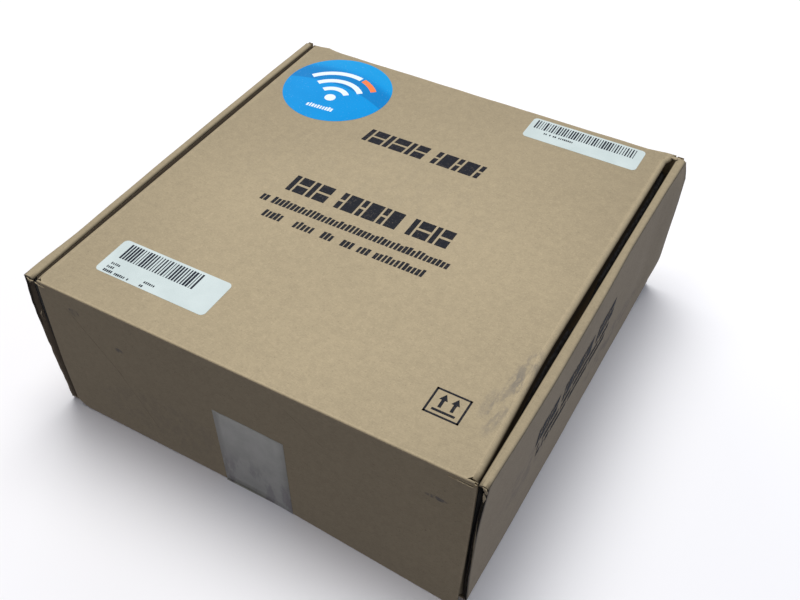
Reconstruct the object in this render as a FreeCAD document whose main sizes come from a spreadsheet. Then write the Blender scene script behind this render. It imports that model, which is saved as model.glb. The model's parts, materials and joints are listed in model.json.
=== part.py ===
import FreeCAD, Part
import os
import re
import Sketcher

# Boxed network surge protector: a roll-end corrugated mailer with a tuck-over lid, two foam end
# caps, a small accessory carton and the five-outlet surge protector itself.
# Frame: +Z up, +Y to the back (lid hinge side), origin at the centre of the underside. Millimetres.

V = FreeCAD.Vector
doc = FreeCAD.newDocument("boxed_surge_protector")
sheet = doc.addObject("Spreadsheet::Sheet", "Sizes")

SIZES = {
    # carton
    "carton_width": 288.0,
    "carton_depth": 288.0,
    "carton_height": 113.0,
    "board": 1.6,
    "wall_gap": 0.2,
    "front_gap": 0.4,
    "lid_gap": 0.8,
    "crease_gap": 0.4,
    "front_wall_drop": 0.6,
    "wall_front_inset": 0.8,
    "wall_back_inset": 0.4,
    "lock_tab_width": 30.0,
    "lock_tab_spacing": 140.0,
    "lock_slot_play": 0.4,
    "lock_tab_lift": 0.2,
    "corner_flap_length": 60.0,
    "corner_flap_taper": 8.0,
    "corner_flap_drop": 2.4,
    "ear_gap": 0.8,
    "lid_corner_cut": 2.0,
    "flap_side_gap": 4.8,
    "flap_bottom": 0.8,
    "flap_corner_radius": 3.0,
    "dust_flap_height": 45.0,
    "dust_flap_slant": 14.0,
    "dust_flap_front": 138.0,
    "dust_flap_back": 118.0,
    "roll_radius": 1.2,
    # tape, labels and sticker
    "tape_width": 48.0,
    "tape_centre": 1.5,
    "tape_top": 68.0,
    "tape_under": 30.0,
    "tape_thickness": 0.1,
    "paper": 0.1,
    "near_label_x": -76.0,
    "near_label_y": -106.3,
    "near_label_length": 76.4,
    "near_label_width": 28.0,
    "far_label_x": 81.0,
    "far_label_y": 126.9,
    "far_label_length": 78.0,
    "far_label_width": 22.6,
    "label_radius": 3.0,
    "sticker_x": -91.0,
    "sticker_y": 101.2,
    "sticker_radius": 38.1,
    # foam end caps
    "foam_length": 276.0,
    "foam_height": 108.0,
    "foam_grip": 24.4,
    "foam_side_gap": 0.8,
    "foam_finger_radius": 22.0,
    "foam_relief_width": 50.0,
    "foam_relief_depth": 12.0,
    "foam_relief_height": 60.0,
    "foam_relief_spacing": 170.0,
    "pocket_play": 0.4,
    "pocket_headroom": 2.4,
    # surge protector chassis
    "device_width": 240.0,
    "device_depth": 160.0,
    "device_height": 45.0,
    "device_lift": 34.0,
    "steel": 1.0,
    "chassis_fit": 0.2,
    "foot_radius": 6.0,
    "foot_height": 3.0,
    "foot_x": 85.0,
    "foot_y": 62.0,
    "screw_x": 110.0,
    "screw_y": 70.0,
    "screw_head_radius": 3.2,
    "screw_head_height": 1.2,
    "screw_shank_radius": 1.4,
    "screw_shank_length": 5.0,
    "vent_width": 2.2,
    "vent_length": 20.0,
    "vent_pitch": 8.0,
    "vent_y": 58.0,
    # receptacles
    "outlet_gap": 4.0,
    "outlet_row_y": -14.0,
    "outlet_width": 28.0,
    "outlet_length": 36.0,
    "outlet_depth": 19.0,
    "outlet_rim": 2.0,
    "outlet_rim_height": 1.0,
    "outlet_fit": 0.3,
    "slot_spacing": 12.7,
    "slot_thickness": 2.0,
    "hot_slot_length": 7.0,
    "neutral_slot_length": 8.6,
    "ground_hole_radius": 2.6,
    "ground_hole_offset": 11.8,
    "slot_depth": 17.0,
    "bus_overhang": 8.0,
    "bus_width": 6.0,
    "bus_thickness": 1.5,
    # power inlet
    "inlet_x": 70.0,
    "inlet_z": 22.0,
    "inlet_flange_width": 48.0,
    "inlet_flange_height": 23.0,
    "inlet_flange_thickness": 2.5,
    "inlet_body_width": 28.0,
    "inlet_body_height": 20.0,
    "inlet_body_depth": 18.0,
    "inlet_wall": 1.8,
    "pin_spacing": 7.0,
    "pin_thickness": 2.0,
    "pin_height": 4.0,
    "pin_length": 13.0,
    # breaker and its reset button
    "breaker_x": 25.0,
    "breaker_z": 24.0,
    "breaker_radius": 8.5,
    "breaker_depth": 24.0,
    "breaker_neck_radius": 5.5,
    "breaker_neck_length": 4.0,
    "breaker_nut_radius": 8.0,
    "breaker_nut_thickness": 2.4,
    "button_radius": 3.2,
    "button_play": 0.4,
    "button_length": 9.0,
    "button_proud": 1.4,
    # rocker switch
    "switch_x": -62.0,
    "switch_z": 22.0,
    "switch_flange_width": 15.0,
    "switch_flange_height": 27.0,
    "switch_flange_thickness": 2.0,
    "switch_hollow_width": 11.8,
    "switch_hollow_height": 23.0,
    "switch_depth": 14.0,
    "switch_wall": 1.0,
    "rocker_width": 11.0,
    "rocker_half_height": 10.5,
    "rocker_tilt": 10.0,
    "rocker_pivot_inset": 1.0,
    # network jack, lights, ground stud
    "jack_x": -15.0,
    "jack_z": 22.0,
    "jack_width": 16.0,
    "jack_height": 13.6,
    "jack_depth": 18.0,
    "jack_hollow_width": 11.8,
    "jack_hollow_height": 7.0,
    "jack_hollow_depth": 14.0,
    "jack_proud": 0.6,
    "contact_pitch": 1.02,
    "light_x": 30.0,
    "light_z": 22.0,
    "light_radius": 1.5,
    "light_pitch": 9.0,
    "light_length": 8.0,
    "stud_x": -80.0,
    "stud_z": 22.0,
    "stud_radius": 2.0,
    "stud_nut_radius": 5.5,
    # electronics inside the chassis
    "board_length": 210.0,
    "board_width": 120.0,
    "board_thickness": 1.6,
    "board_lift": 4.0,
    "board_y": -8.0,
    "standoff_radius": 3.0,
    "relay_length": 20.0,
    "relay_width": 10.0,
    "relay_height": 14.0,
    "varistor_radius": 7.0,
    "varistor_thickness": 4.0,
    "choke_radius": 11.0,
    "choke_wire_radius": 4.5,
    "capacitor_length": 26.0,
    "capacitor_width": 10.0,
    "capacitor_height": 18.0,
    "supply_length": 36.0,
    "supply_width": 22.0,
    "supply_height": 24.0,
    "fuse_radius": 2.6,
    "fuse_length": 20.0,
    # accessory carton, brackets and guide
    "inner_box_length": 172.0,
    "inner_box_width": 112.0,
    "inner_box_height": 24.0,
    "inner_board": 0.8,
    "inner_cover_depth": 14.0,
    "bracket_length": 60.0,
    "bracket_leg": 18.0,
    "bracket_steel": 2.0,
    "bracket_hole_radius": 2.5,
    "guide_length": 140.0,
    "guide_width": 100.0,
    "guide_leaf": 0.5,
    "guide_fold_gap": 0.3,
}

for row, (name, number) in enumerate(SIZES.items(), 1):
    sheet.set("A%d" % row, name)
    sheet.set("B%d" % row, str(number))
    sheet.setAlias("B%d" % row, name)
doc.recompute()

NAMES = re.compile(r"\b(" + "|".join(sorted(SIZES, key=len, reverse=True)) + r")\b")


def expr(text):
    return NAMES.sub(lambda found: "Sizes." + found.group(0), str(text))


def value(text):
    return float(sheet.evalExpression(expr(text)))


def bind(thing, prop, text):
    thing.setExpression(prop, expr(text))


def place(thing, at):
    for axis, text in zip("xyz", at):
        bind(thing, "Placement.Base." + axis, text)
    return thing


# Building blocks -------------------------------------------------------------------------------


def plane_of(body, role):
    return [part for part in body.Origin.OriginFeatures if part.Role == role][0]


def pin_point(sketch, where, at, tag):
    """Holds one sketch point at an expression-driven x and y."""
    for kind, text in (("DistanceX", at[0]), ("DistanceY", at[1])):
        number = sketch.addConstraint(Sketcher.Constraint(kind, -1, 1, *where, value(text)))
        name = "%s_%s" % (tag, kind[-1].lower())
        sketch.renameConstraint(number, name)
        bind(sketch, "Constraints." + name, text)


def add_polygon(sketch, points, tag):
    spots = [V(value(x), value(y), 0) for x, y in points]
    first = sketch.GeometryCount
    count = len(points)
    for index in range(count):
        sketch.addGeometry(Part.LineSegment(spots[index], spots[(index + 1) % count]), False)
    for index in range(count):
        link = (first + index, 2, first + (index + 1) % count, 1)
        sketch.addConstraint(Sketcher.Constraint("Coincident", *link))
    for index, at in enumerate(points):
        pin_point(sketch, (first + index, 1), at, "%s%d" % (tag, index))


def add_circle(sketch, at, radius, tag):
    centre = V(value(at[0]), value(at[1]), 0)
    number = sketch.addGeometry(Part.Circle(centre, V(0, 0, 1), value(radius)), False)
    pin_point(sketch, (number, 3), at, tag)
    size = sketch.addConstraint(Sketcher.Constraint("Radius", number, value(radius)))
    sketch.renameConstraint(size, tag + "_radius")
    bind(sketch, "Constraints." + tag + "_radius", radius)


def new_sketch(body, role, loops, label):
    sketch = body.newObject("Sketcher::SketchObject", label)
    sketch.AttachmentSupport = (plane_of(body, role), [""])
    sketch.MapMode = "FlatFace"
    for index, loop in enumerate(loops):
        tag = "loop%d_" % index
        if loop[0] == "circle":
            add_circle(sketch, loop[1], loop[2], tag)
        else:
            add_polygon(sketch, loop, tag)
    return sketch


def panel(label, role, loops, thickness, at=("0", "0", "0")):
    """A padded body. Pads run along +Z from XY_Plane, -Y from XZ_Plane and +X from YZ_Plane."""
    body = doc.addObject("PartDesign::Body", label)
    body.Label = label
    pad_sketch = new_sketch(body, role, loops, label + "_outline")
    pad = body.newObject("PartDesign::Pad", label + "_pad")
    pad.Profile = pad_sketch
    bind(pad, "Length", thickness)
    pad_sketch.Visibility = False
    place(body, at)
    doc.recompute()
    return body


def round_edges(body, axis, radius, keep=lambda centre: True):
    """Fillets the straight edges of the body's tip that run along an axis."""
    tip = body.Tip
    names = []
    for number, edge in enumerate(tip.Shape.Edges, 1):
        if edge.Curve.TypeId != "Part::GeomLine":
            continue
        along = edge.Curve.Direction
        if abs(along.dot(axis)) > 0.99 and keep(edge.CenterOfMass):
            names.append("Edge%d" % number)
    fillet = body.newObject("PartDesign::Fillet", body.Label + "_rounding")
    fillet.Base = (tip, names)
    bind(fillet, "Radius", radius)
    doc.recompute()
    return body


def rectangle(x0, y0, x1, y1):
    return [(x0, y0), (x1, y0), (x1, y1), (x0, y1)]


def block(label, at, size, centred="xy"):
    """A box placed by its low corner, or by its middle on the axes named in centred."""
    box = doc.addObject("Part::Box", label)
    box.Label = label
    for prop, text in zip(("Length", "Width", "Height"), size):
        bind(box, prop, text)
    corner = []
    for axis, where, extent in zip("xyz", at, size):
        corner.append("%s - (%s) / 2" % (where, extent) if axis in centred else where)
    return place(box, corner)


TURNS = {
    "x": FreeCAD.Rotation(V(0, 1, 0), 90),
    "y": FreeCAD.Rotation(V(1, 0, 0), -90),
    "z": FreeCAD.Rotation(),
}


def rod(label, at, radius, length, axis="z"):
    """A cylinder that starts at a point and runs along +x, +y or +z."""
    cylinder = doc.addObject("Part::Cylinder", label)
    cylinder.Label = label
    bind(cylinder, "Radius", radius)
    bind(cylinder, "Height", length)
    cylinder.Placement = FreeCAD.Placement(V(0, 0, 0), TURNS[axis])
    return place(cylinder, at)


def join(label, pieces):
    fused = doc.addObject("Part::MultiFuse", label)
    fused.Label = label
    fused.Shapes = pieces
    return fused


def cut(label, base, tools):
    result = doc.addObject("Part::Cut", label)
    result.Label = label
    result.Base = base
    result.Tool = tools[0] if len(tools) == 1 else join(label + "_tools", tools)
    return result


NODES = []


def node(thing):
    NODES.append(thing)
    return thing


# Carton walls ----------------------------------------------------------------------------------

HALF_W = "carton_width / 2"
HALF_D = "carton_depth / 2"
FLAP_OUT = "(carton_width / 2 - board - wall_gap)"
FLAP_IN = "(carton_width / 2 - 2 * board - wall_gap)"
INNER_OUT = "(carton_width / 2 - 2 * board - 2 * wall_gap)"
INNER_IN = "(carton_width / 2 - 3 * board - 2 * wall_gap)"
LID_HALF = "(carton_width / 2 - 3 * board - 2 * wall_gap - lid_gap)"
FRONT_OUT = "(-carton_depth / 2 + board + front_gap)"
FRONT_IN = "(-carton_depth / 2 + 2 * board + front_gap)"
BACK_IN = "(carton_depth / 2 - board)"
LID_UNDER = "(carton_height - board)"
WALL_FRONT = "(-carton_depth / 2 + wall_front_inset)"
WALL_BACK = "(carton_depth / 2 - wall_back_inset)"
LEFT, RIGHT = -1, 1


def sided(side, text):
    """Mirrors an x expression for the left side."""
    return text if side == RIGHT else "-(%s)" % text


def thick_from(side, inner, outer):
    """The low x of a layer that lies between two distances from the middle plane."""
    return inner if side == RIGHT else "-(%s)" % outer


slots = []
for side in (LEFT, RIGHT):
    for end in (-1, 1):
        y_mid = "(%d * lock_tab_spacing / 2)" % end
        x_low = "(%s) - lock_slot_play / 2" % thick_from(side, INNER_IN, INNER_OUT)
        x_high = "(%s) + board + lock_slot_play / 2" % thick_from(side, INNER_IN, INNER_OUT)
        y_half = "(lock_tab_width + 2 * lock_slot_play) / 2"
        slots.append(
            rectangle(x_low, y_mid + " - " + y_half, x_high, y_mid + " + " + y_half)
        )

base = panel(
    "base_panel",
    "XY_Plane",
    [rectangle("-" + HALF_W, FRONT_OUT, HALF_W, HALF_D)] + slots,
    "board",
)
TAPE_LEFT = "(tape_centre - tape_width / 2)"
TAPE_RIGHT = "(tape_centre + tape_width / 2)"
recess_sketch = new_sketch(
    base,
    "XY_Plane",
    [rectangle(TAPE_LEFT, FRONT_OUT + " - 1", TAPE_RIGHT, FRONT_OUT + " + tape_under")],
    "tape_recess_outline",
)
recess = base.newObject("PartDesign::Pocket", "tape_recess")
recess.Profile = recess_sketch
recess.Reversed = True
bind(recess, "Length", "tape_thickness")
node(base)

node(
    panel(
        "front_wall",
        "XZ_Plane",
        [rectangle("-" + FLAP_OUT, "board", FLAP_OUT, LID_UNDER + " - front_wall_drop")],
        "board",
        ("0", FRONT_IN, "0"),
    )
)

back_top = LID_UNDER + " - crease_gap"
node(
    panel(
        "back_wall",
        "XZ_Plane",
        [
            [
                ("-" + FLAP_OUT, "board"),
                (FLAP_OUT, "board"),
                (FLAP_OUT, "carton_height"),
                (LID_HALF + " + ear_gap", "carton_height"),
                (LID_HALF + " + ear_gap", back_top),
                ("-" + LID_HALF + " - ear_gap", back_top),
                ("-" + LID_HALF + " - ear_gap", "carton_height"),
                ("-" + FLAP_OUT, "carton_height"),
            ]
        ],
        "board",
        ("0", HALF_D, "0"),
    )
)

for side, name in ((LEFT, "left"), (RIGHT, "right")):
    node(
        panel(
            name + "_outer_wall",
            "YZ_Plane",
            [rectangle(WALL_FRONT, "board", WALL_BACK, LID_UNDER)],
            "board",
            (thick_from(side, HALF_W + " - board", HALF_W), "0", "0"),
        )
    )
    roll = panel(
        name + "_roll_edge",
        "XY_Plane",
        [
            rectangle(
                thick_from(side, INNER_IN, HALF_W),
                WALL_FRONT,
                thick_from(side, HALF_W, INNER_IN),
                BACK_IN + " - crease_gap",
            )
        ],
        "board",
        ("0", "0", LID_UNDER),
    )
    half = value(HALF_W)
    top = value("board")
    round_edges(
        roll,
        V(0, 1, 0),
        "roll_radius",
        lambda centre: abs(abs(centre.x) - half) < 0.01 and abs(centre.z - top) < 0.01,
    )
    node(roll)
    y_tabs = ["(-lock_tab_spacing / 2)", "(lock_tab_spacing / 2)"]
    outline = [(FRONT_IN + " + 0.3", "board")]
    for y_mid in y_tabs:
        outline += [
            (y_mid + " - lock_tab_width / 2", "board"),
            (y_mid + " - lock_tab_width / 2 + 1.5", "lock_tab_lift"),
            (y_mid + " + lock_tab_width / 2 - 1.5", "lock_tab_lift"),
            (y_mid + " + lock_tab_width / 2", "board"),
        ]
    outline += [
        (BACK_IN + " - 0.3", "board"),
        (BACK_IN + " - 0.3", LID_UNDER),
        (FRONT_IN + " + 0.3", LID_UNDER),
    ]
    node(
        panel(
            name + "_inner_wall",
            "YZ_Plane",
            [outline],
            "board",
            (thick_from(side, INNER_IN, INNER_OUT), "0", "0"),
        )
    )
    flap_low = "board + corner_flap_drop"
    flap_high = LID_UNDER + " - corner_flap_drop"
    for place_name, root, tip in (
        ("front", FRONT_IN, FRONT_IN + " + corner_flap_length"),
        ("back", BACK_IN, BACK_IN + " - corner_flap_length"),
    ):
        loop = [
            (root, flap_low),
            (tip, flap_low + " + corner_flap_taper"),
            (tip, flap_high + " - corner_flap_taper"),
            (root, flap_high),
        ]
        if place_name == "back":
            loop = loop[::-1]
        node(
            panel(
                "corner_flap_%s_%s" % (place_name, name),
                "YZ_Plane",
                [loop],
                "board",
                (thick_from(side, FLAP_IN, FLAP_OUT), "0", "0"),
            )
        )

# Lid, its front flap and its dust flaps --------------------------------------------------------

node(
    panel(
        "lid_panel",
        "XY_Plane",
        [
            [
                ("-" + LID_HALF + " + lid_corner_cut", "-" + HALF_D),
                (LID_HALF + " - lid_corner_cut", "-" + HALF_D),
                (LID_HALF, "-" + HALF_D + " + lid_corner_cut"),
                (LID_HALF, HALF_D),
                ("-" + LID_HALF, HALF_D),
                ("-" + LID_HALF, "-" + HALF_D + " + lid_corner_cut"),
            ]
        ],
        "board",
        ("0", "0", LID_UNDER),
    )
)

FLAP_HALF = "(carton_width / 2 - flap_side_gap)"
front_flap = panel(
    "lid_front_flap",
    "XZ_Plane",
    [rectangle("-" + FLAP_HALF, "flap_bottom", FLAP_HALF, LID_UNDER + " - crease_gap")],
    "board",
    ("0", "-" + HALF_D + " + board", "0"),
)
flap_low_z = value("flap_bottom")
round_edges(
    front_flap,
    V(0, 1, 0),
    "flap_corner_radius",
    lambda centre: abs(centre.z - flap_low_z) < 0.01,
)
node(front_flap)

for side, name in ((LEFT, "left"), (RIGHT, "right")):
    node(
        panel(
            "lid_%s_dust_flap" % name,
            "YZ_Plane",
            [
                [
                    ("-dust_flap_front", LID_UNDER),
                    ("-dust_flap_front + dust_flap_slant", LID_UNDER + " - dust_flap_height"),
                    ("dust_flap_back - dust_flap_slant", LID_UNDER + " - dust_flap_height"),
                    ("dust_flap_back", LID_UNDER),
                ]
            ],
            "board",
            (thick_from(side, LID_HALF + " - board", LID_HALF), "0", "0"),
        )
    )

# Tape, labels and sticker ----------------------------------------------------------------------

node(
    panel(
        "sealing_tape_flap",
        "XZ_Plane",
        [rectangle(TAPE_LEFT, "flap_bottom", TAPE_RIGHT, "tape_top")],
        "tape_thickness",
        ("0", "-" + HALF_D, "0"),
    )
)
node(
    panel(
        "sealing_tape_base",
        "XY_Plane",
        [rectangle(TAPE_LEFT, FRONT_OUT, TAPE_RIGHT, FRONT_OUT + " + tape_under")],
        "tape_thickness",
    )
)
for name in ("near", "far"):
    half_x = "%s_label_length / 2" % name
    half_y = "%s_label_width / 2" % name
    label = panel(
        "barcode_label_" + name,
        "XY_Plane",
        [rectangle("-" + half_x, "-" + half_y, half_x, half_y)],
        "paper",
        (name + "_label_x", name + "_label_y", "carton_height"),
    )
    node(round_edges(label, V(0, 0, 1), "label_radius"))
node(
    panel(
        "round_sticker",
        "XY_Plane",
        [("circle", ("0", "0"), "sticker_radius")],
        "paper",
        ("sticker_x", "sticker_y", "carton_height"),
    )
)

# Foam end caps ---------------------------------------------------------------------------------

FOAM_OUT = "(carton_width / 2 - 4 * board - 2 * wall_gap - lid_gap - foam_side_gap)"
FOAM_IN = "(device_width / 2 - foam_grip)"
FOAM_THICK = "(%s - %s)" % (FOAM_OUT, FOAM_IN)
FOAM_MID_Y = "(board / 2 + front_gap / 2)"
DEVICE_TOP = "(device_lift + device_height)"
for side, name in ((LEFT, "left"), (RIGHT, "right")):
    low_x = thick_from(side, FOAM_IN, FOAM_OUT)
    block_of_foam = block(
        "foam_blank_" + name,
        (low_x, FOAM_MID_Y, "board"),
        (FOAM_THICK, "foam_length", "foam_height"),
        "y",
    )
    pocket = block(
        "foam_pocket_" + name,
        (thick_from(side, "0", "device_width / 2 + pocket_play"), "0", "device_lift"),
        (
            "device_width / 2 + pocket_play",
            "device_depth + 2 * pocket_play",
            "device_height + pocket_headroom",
        ),
        "y",
    )
    finger = rod(
        "foam_finger_" + name,
        (low_x + " - 1", FOAM_MID_Y, "board + foam_height + 4"),
        "foam_finger_radius",
        FOAM_THICK + " + 2",
        "x",
    )
    reliefs = []
    for end in (-1, 1):
        inward = thick_from(
            side,
            FOAM_IN + " - 1",
            FOAM_IN + " + foam_relief_depth",
        )
        reliefs.append(
            block(
                "foam_relief_%s_%d" % (name, end + 1),
                (inward, "(%d * foam_relief_spacing / 2 + %s)" % (end, FOAM_MID_Y), "board - 1"),
                ("foam_relief_depth + 1", "foam_relief_width", "foam_relief_height / 3"),
                "y",
            )
        )
    node(cut("foam_cap_" + name, block_of_foam, [pocket, finger] + reliefs))

# Surge protector chassis -----------------------------------------------------------------------

HALF_DW = "device_width / 2"
HALF_DD = "device_depth / 2"
FLOOR = "(device_lift + steel)"
BACK_Y = "(device_depth / 2)"
FRONT_Y = "(-device_depth / 2)"
inner_half = "(device_width / 2 - steel - chassis_fit)"
tray = panel(
    "chassis_tray",
    "YZ_Plane",
    [
        [
            ("-" + HALF_DD, "device_lift"),
            (HALF_DD, "device_lift"),
            (HALF_DD, DEVICE_TOP + " - steel - 0.05"),
            (HALF_DD + " - steel", DEVICE_TOP + " - steel - 0.05"),
            (HALF_DD + " - steel", FLOOR),
            ("-" + HALF_DD + " + steel", FLOOR),
            ("-" + HALF_DD + " + steel", DEVICE_TOP + " - steel - 0.05"),
            ("-" + HALF_DD, DEVICE_TOP + " - steel - 0.05"),
        ]
    ],
    "2 * " + inner_half,
    ("-" + inner_half, "0", "0"),
)
SWITCH_Z = "(device_lift + switch_z)"
INLET_Z = "(device_lift + inlet_z)"
BREAKER_Z = "(device_lift + breaker_z)"
JACK_Z = "(device_lift + jack_z)"
LIGHT_Z = "(device_lift + light_z)"
STUD_Z = "(device_lift + stud_z)"
wall = "(steel + 2)"
tray_holes = [
    block(
        "switch_opening",
        ("switch_x", FRONT_Y + " - 1", SWITCH_Z),
        (
            "switch_hollow_width + 2 * switch_wall + 0.2",
            wall,
            "switch_hollow_height + 2 * switch_wall + 0.2",
        ),
        "xz",
    ),
    block(
        "inlet_opening",
        ("inlet_x", BACK_Y + " - steel - 1", INLET_Z),
        ("inlet_body_width + 0.2", wall, "inlet_body_height + 0.2"),
        "xz",
    ),
    block(
        "jack_opening",
        ("jack_x", BACK_Y + " - steel - 1", JACK_Z),
        ("jack_width + 0.2", wall, "jack_height + 0.2"),
        "xz",
    ),
    rod(
        "breaker_opening",
        ("breaker_x", BACK_Y + " - steel - 1", BREAKER_Z),
        "breaker_neck_radius + 0.1",
        wall,
        "y",
    ),
    rod(
        "stud_opening",
        ("stud_x", BACK_Y + " - steel - 1", STUD_Z),
        "stud_radius + 0.1",
        wall,
        "y",
    ),
]
for index in range(3):
    tray_holes.append(
        rod(
            "light_opening_%d" % index,
            ("light_x + %d * light_pitch" % (index - 1), FRONT_Y + " - 1", LIGHT_Z),
            "light_radius + 0.1",
            wall,
            "y",
        )
    )
node(cut("chassis_base", tray, tray_holes))

shell = panel(
    "chassis_shell",
    "XZ_Plane",
    [
        [
            ("-" + HALF_DW, FLOOR + " + 0.2"),
            ("-" + HALF_DW + " + steel", FLOOR + " + 0.2"),
            ("-" + HALF_DW + " + steel", DEVICE_TOP + " - steel"),
            (HALF_DW + " - steel", DEVICE_TOP + " - steel"),
            (HALF_DW + " - steel", FLOOR + " + 0.2"),
            (HALF_DW, FLOOR + " + 0.2"),
            (HALF_DW, DEVICE_TOP),
            ("-" + HALF_DW, DEVICE_TOP),
        ]
    ],
    "device_depth",
    ("0", HALF_DD, "0"),
)
shell_holes = []
OUTLET_PITCH = "(outlet_width + 2 * outlet_rim + outlet_gap)"
OUTLET_X = ["(%d * %s)" % (index - 2, OUTLET_PITCH) for index in range(5)]
for index, x_mid in enumerate(OUTLET_X):
    shell_holes.append(
        block(
            "outlet_opening_%d" % index,
            (x_mid, "outlet_row_y", DEVICE_TOP + " - steel - 1"),
            ("outlet_width + outlet_fit", "outlet_length + outlet_fit", "steel + 2"),
        )
    )
for row, y_mid in enumerate(("-vent_y", "vent_y")):
    for index in range(9):
        shell_holes.append(
            block(
                "vent_%d_%d" % (row, index),
                ("(%d * vent_pitch)" % (index - 4), y_mid, DEVICE_TOP + " - steel - 1"),
                ("vent_width", "vent_length", "steel + 2"),
            )
        )
CORNERS = [(x, y) for x in (-1, 1) for y in (-1, 1)]
for index, (x, y) in enumerate(CORNERS):
    shell_holes.append(
        rod(
            "screw_hole_%d" % index,
            ("%d * screw_x" % x, "%d * screw_y" % y, DEVICE_TOP + " - steel - 1"),
            "screw_shank_radius + 0.1",
            "steel + 2",
        )
    )
node(cut("chassis_cover", shell, shell_holes))

screws = []
feet = []
for index, (x, y) in enumerate(CORNERS):
    screws.append(
        rod(
            "screw_head_%d" % index,
            ("%d * screw_x" % x, "%d * screw_y" % y, DEVICE_TOP),
            "screw_head_radius",
            "screw_head_height",
        )
    )
    screws.append(
        rod(
            "screw_shank_%d" % index,
            ("%d * screw_x" % x, "%d * screw_y" % y, DEVICE_TOP + " - screw_shank_length"),
            "screw_shank_radius",
            "screw_shank_length",
        )
    )
    feet.append(
        rod(
            "foot_%d" % index,
            ("%d * foot_x" % x, "%d * foot_y" % y, "device_lift - foot_height"),
            "foot_radius",
            "foot_height",
        )
    )
node(join("cover_screws", screws))
node(join("rubber_feet", feet))

# Receptacles and their bus bars ----------------------------------------------------------------

OUTLET_LOW = DEVICE_TOP + " - outlet_depth"
for index, x_mid in enumerate(OUTLET_X):
    tag = "_%d" % (index + 1)
    housing = join(
        "outlet_blank" + tag,
        [
            block(
                "outlet_body" + tag,
                (x_mid, "outlet_row_y", OUTLET_LOW),
                ("outlet_width", "outlet_length", "outlet_depth"),
            ),
            block(
                "outlet_rim" + tag,
                (x_mid, "outlet_row_y", DEVICE_TOP),
                (
                    "outlet_width + 2 * outlet_rim",
                    "outlet_length + 2 * outlet_rim",
                    "outlet_rim_height",
                ),
            ),
        ],
    )
    mouth = DEVICE_TOP + " + outlet_rim_height - slot_depth"
    openings = [
        block(
            "hot_slot" + tag,
            (x_mid + " - slot_spacing / 2", "outlet_row_y + 4", mouth),
            ("slot_thickness", "hot_slot_length", "slot_depth + 1"),
        ),
        block(
            "neutral_slot" + tag,
            (x_mid + " + slot_spacing / 2", "outlet_row_y + 4", mouth),
            ("slot_thickness", "neutral_slot_length", "slot_depth + 1"),
        ),
        rod(
            "ground_hole" + tag,
            (x_mid, "outlet_row_y + 4 - ground_hole_offset", mouth),
            "ground_hole_radius",
            "slot_depth + 1",
        ),
    ]
    node(cut("receptacle" + tag, housing, openings))

bars = []
for index, offset in enumerate(("-12", "4", "14")):
    bars.append(
        block(
            "bus_bar_%d" % index,
            ("0", "outlet_row_y + " + offset, OUTLET_LOW + " - bus_thickness"),
            ("(4 * %s + 2 * bus_overhang)" % OUTLET_PITCH, "bus_width", "bus_thickness"),
        )
    )
node(join("bus_bars", bars))

# Power inlet -----------------------------------------------------------------------------------

inlet = join(
    "inlet_blank",
    [
        block(
            "inlet_flange",
            ("inlet_x", BACK_Y, INLET_Z),
            ("inlet_flange_width", "inlet_flange_thickness", "inlet_flange_height"),
            "xz",
        ),
        block(
            "inlet_body",
            ("inlet_x", BACK_Y + " - inlet_body_depth", INLET_Z),
            ("inlet_body_width", "inlet_body_depth", "inlet_body_height"),
            "xz",
        ),
    ],
)
hollow = "(inlet_body_depth + inlet_flange_thickness - inlet_wall)"
node(
    cut(
        "power_inlet",
        inlet,
        [
            block(
                "inlet_hollow",
                ("inlet_x", BACK_Y + " - inlet_body_depth + inlet_wall", INLET_Z),
                (
                    "inlet_body_width - 2 * inlet_wall",
                    hollow + " + 1",
                    "inlet_body_height - 2 * inlet_wall",
                ),
                "xz",
            ),
            rod(
                "inlet_fixing_left",
                ("inlet_x - inlet_flange_width / 2 + 4.5", BACK_Y + " - 1", INLET_Z),
                "1.6",
                "inlet_flange_thickness + 2",
                "y",
            ),
            rod(
                "inlet_fixing_right",
                ("inlet_x + inlet_flange_width / 2 - 4.5", BACK_Y + " - 1", INLET_Z),
                "1.6",
                "inlet_flange_thickness + 2",
                "y",
            ),
        ],
    )
)
pins = []
for index, (x, z) in enumerate(((-1, -0.25), (1, -0.25), (0, 0.5))):
    pins.append(
        block(
            "pin_%d" % index,
            (
                "inlet_x + %d * pin_spacing" % x,
                BACK_Y + " - inlet_body_depth + inlet_wall",
                INLET_Z + " + %s * pin_height" % z,
            ),
            ("pin_thickness", "pin_length", "pin_height"),
            "xz",
        )
    )
node(join("inlet_pins", pins))

# Breaker with its reset button -----------------------------------------------------------------

bore_depth = "(button_length - button_proud + button_play)"
NECK_END = BACK_Y + " + breaker_neck_length - steel"
breaker = join(
    "breaker_blank",
    [
        rod(
            "breaker_drum",
            ("breaker_x", BACK_Y + " - steel - breaker_depth", BREAKER_Z),
            "breaker_radius",
            "breaker_depth",
            "y",
        ),
        rod(
            "breaker_neck",
            ("breaker_x", BACK_Y + " - steel", BREAKER_Z),
            "breaker_neck_radius",
            "breaker_neck_length",
            "y",
        ),
    ],
)
node(
    cut(
        "breaker_body",
        breaker,
        [
            rod(
                "breaker_bore",
                ("breaker_x", NECK_END + " - " + bore_depth, BREAKER_Z),
                "button_radius + button_play",
                bore_depth + " + 1",
                "y",
            )
        ],
    )
)
hexagon = []
for corner in range(6):
    hexagon.append(
        (
            "breaker_nut_radius * cos(%d deg)" % (60 * corner),
            "breaker_nut_radius * sin(%d deg)" % (60 * corner),
        )
    )
node(
    panel(
        "breaker_nut",
        "XZ_Plane",
        [hexagon, ("circle", ("0", "0"), "breaker_neck_radius + 0.1")],
        "breaker_nut_thickness",
        ("breaker_x", BACK_Y + " + breaker_nut_thickness", BREAKER_Z),
    )
)
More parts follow.
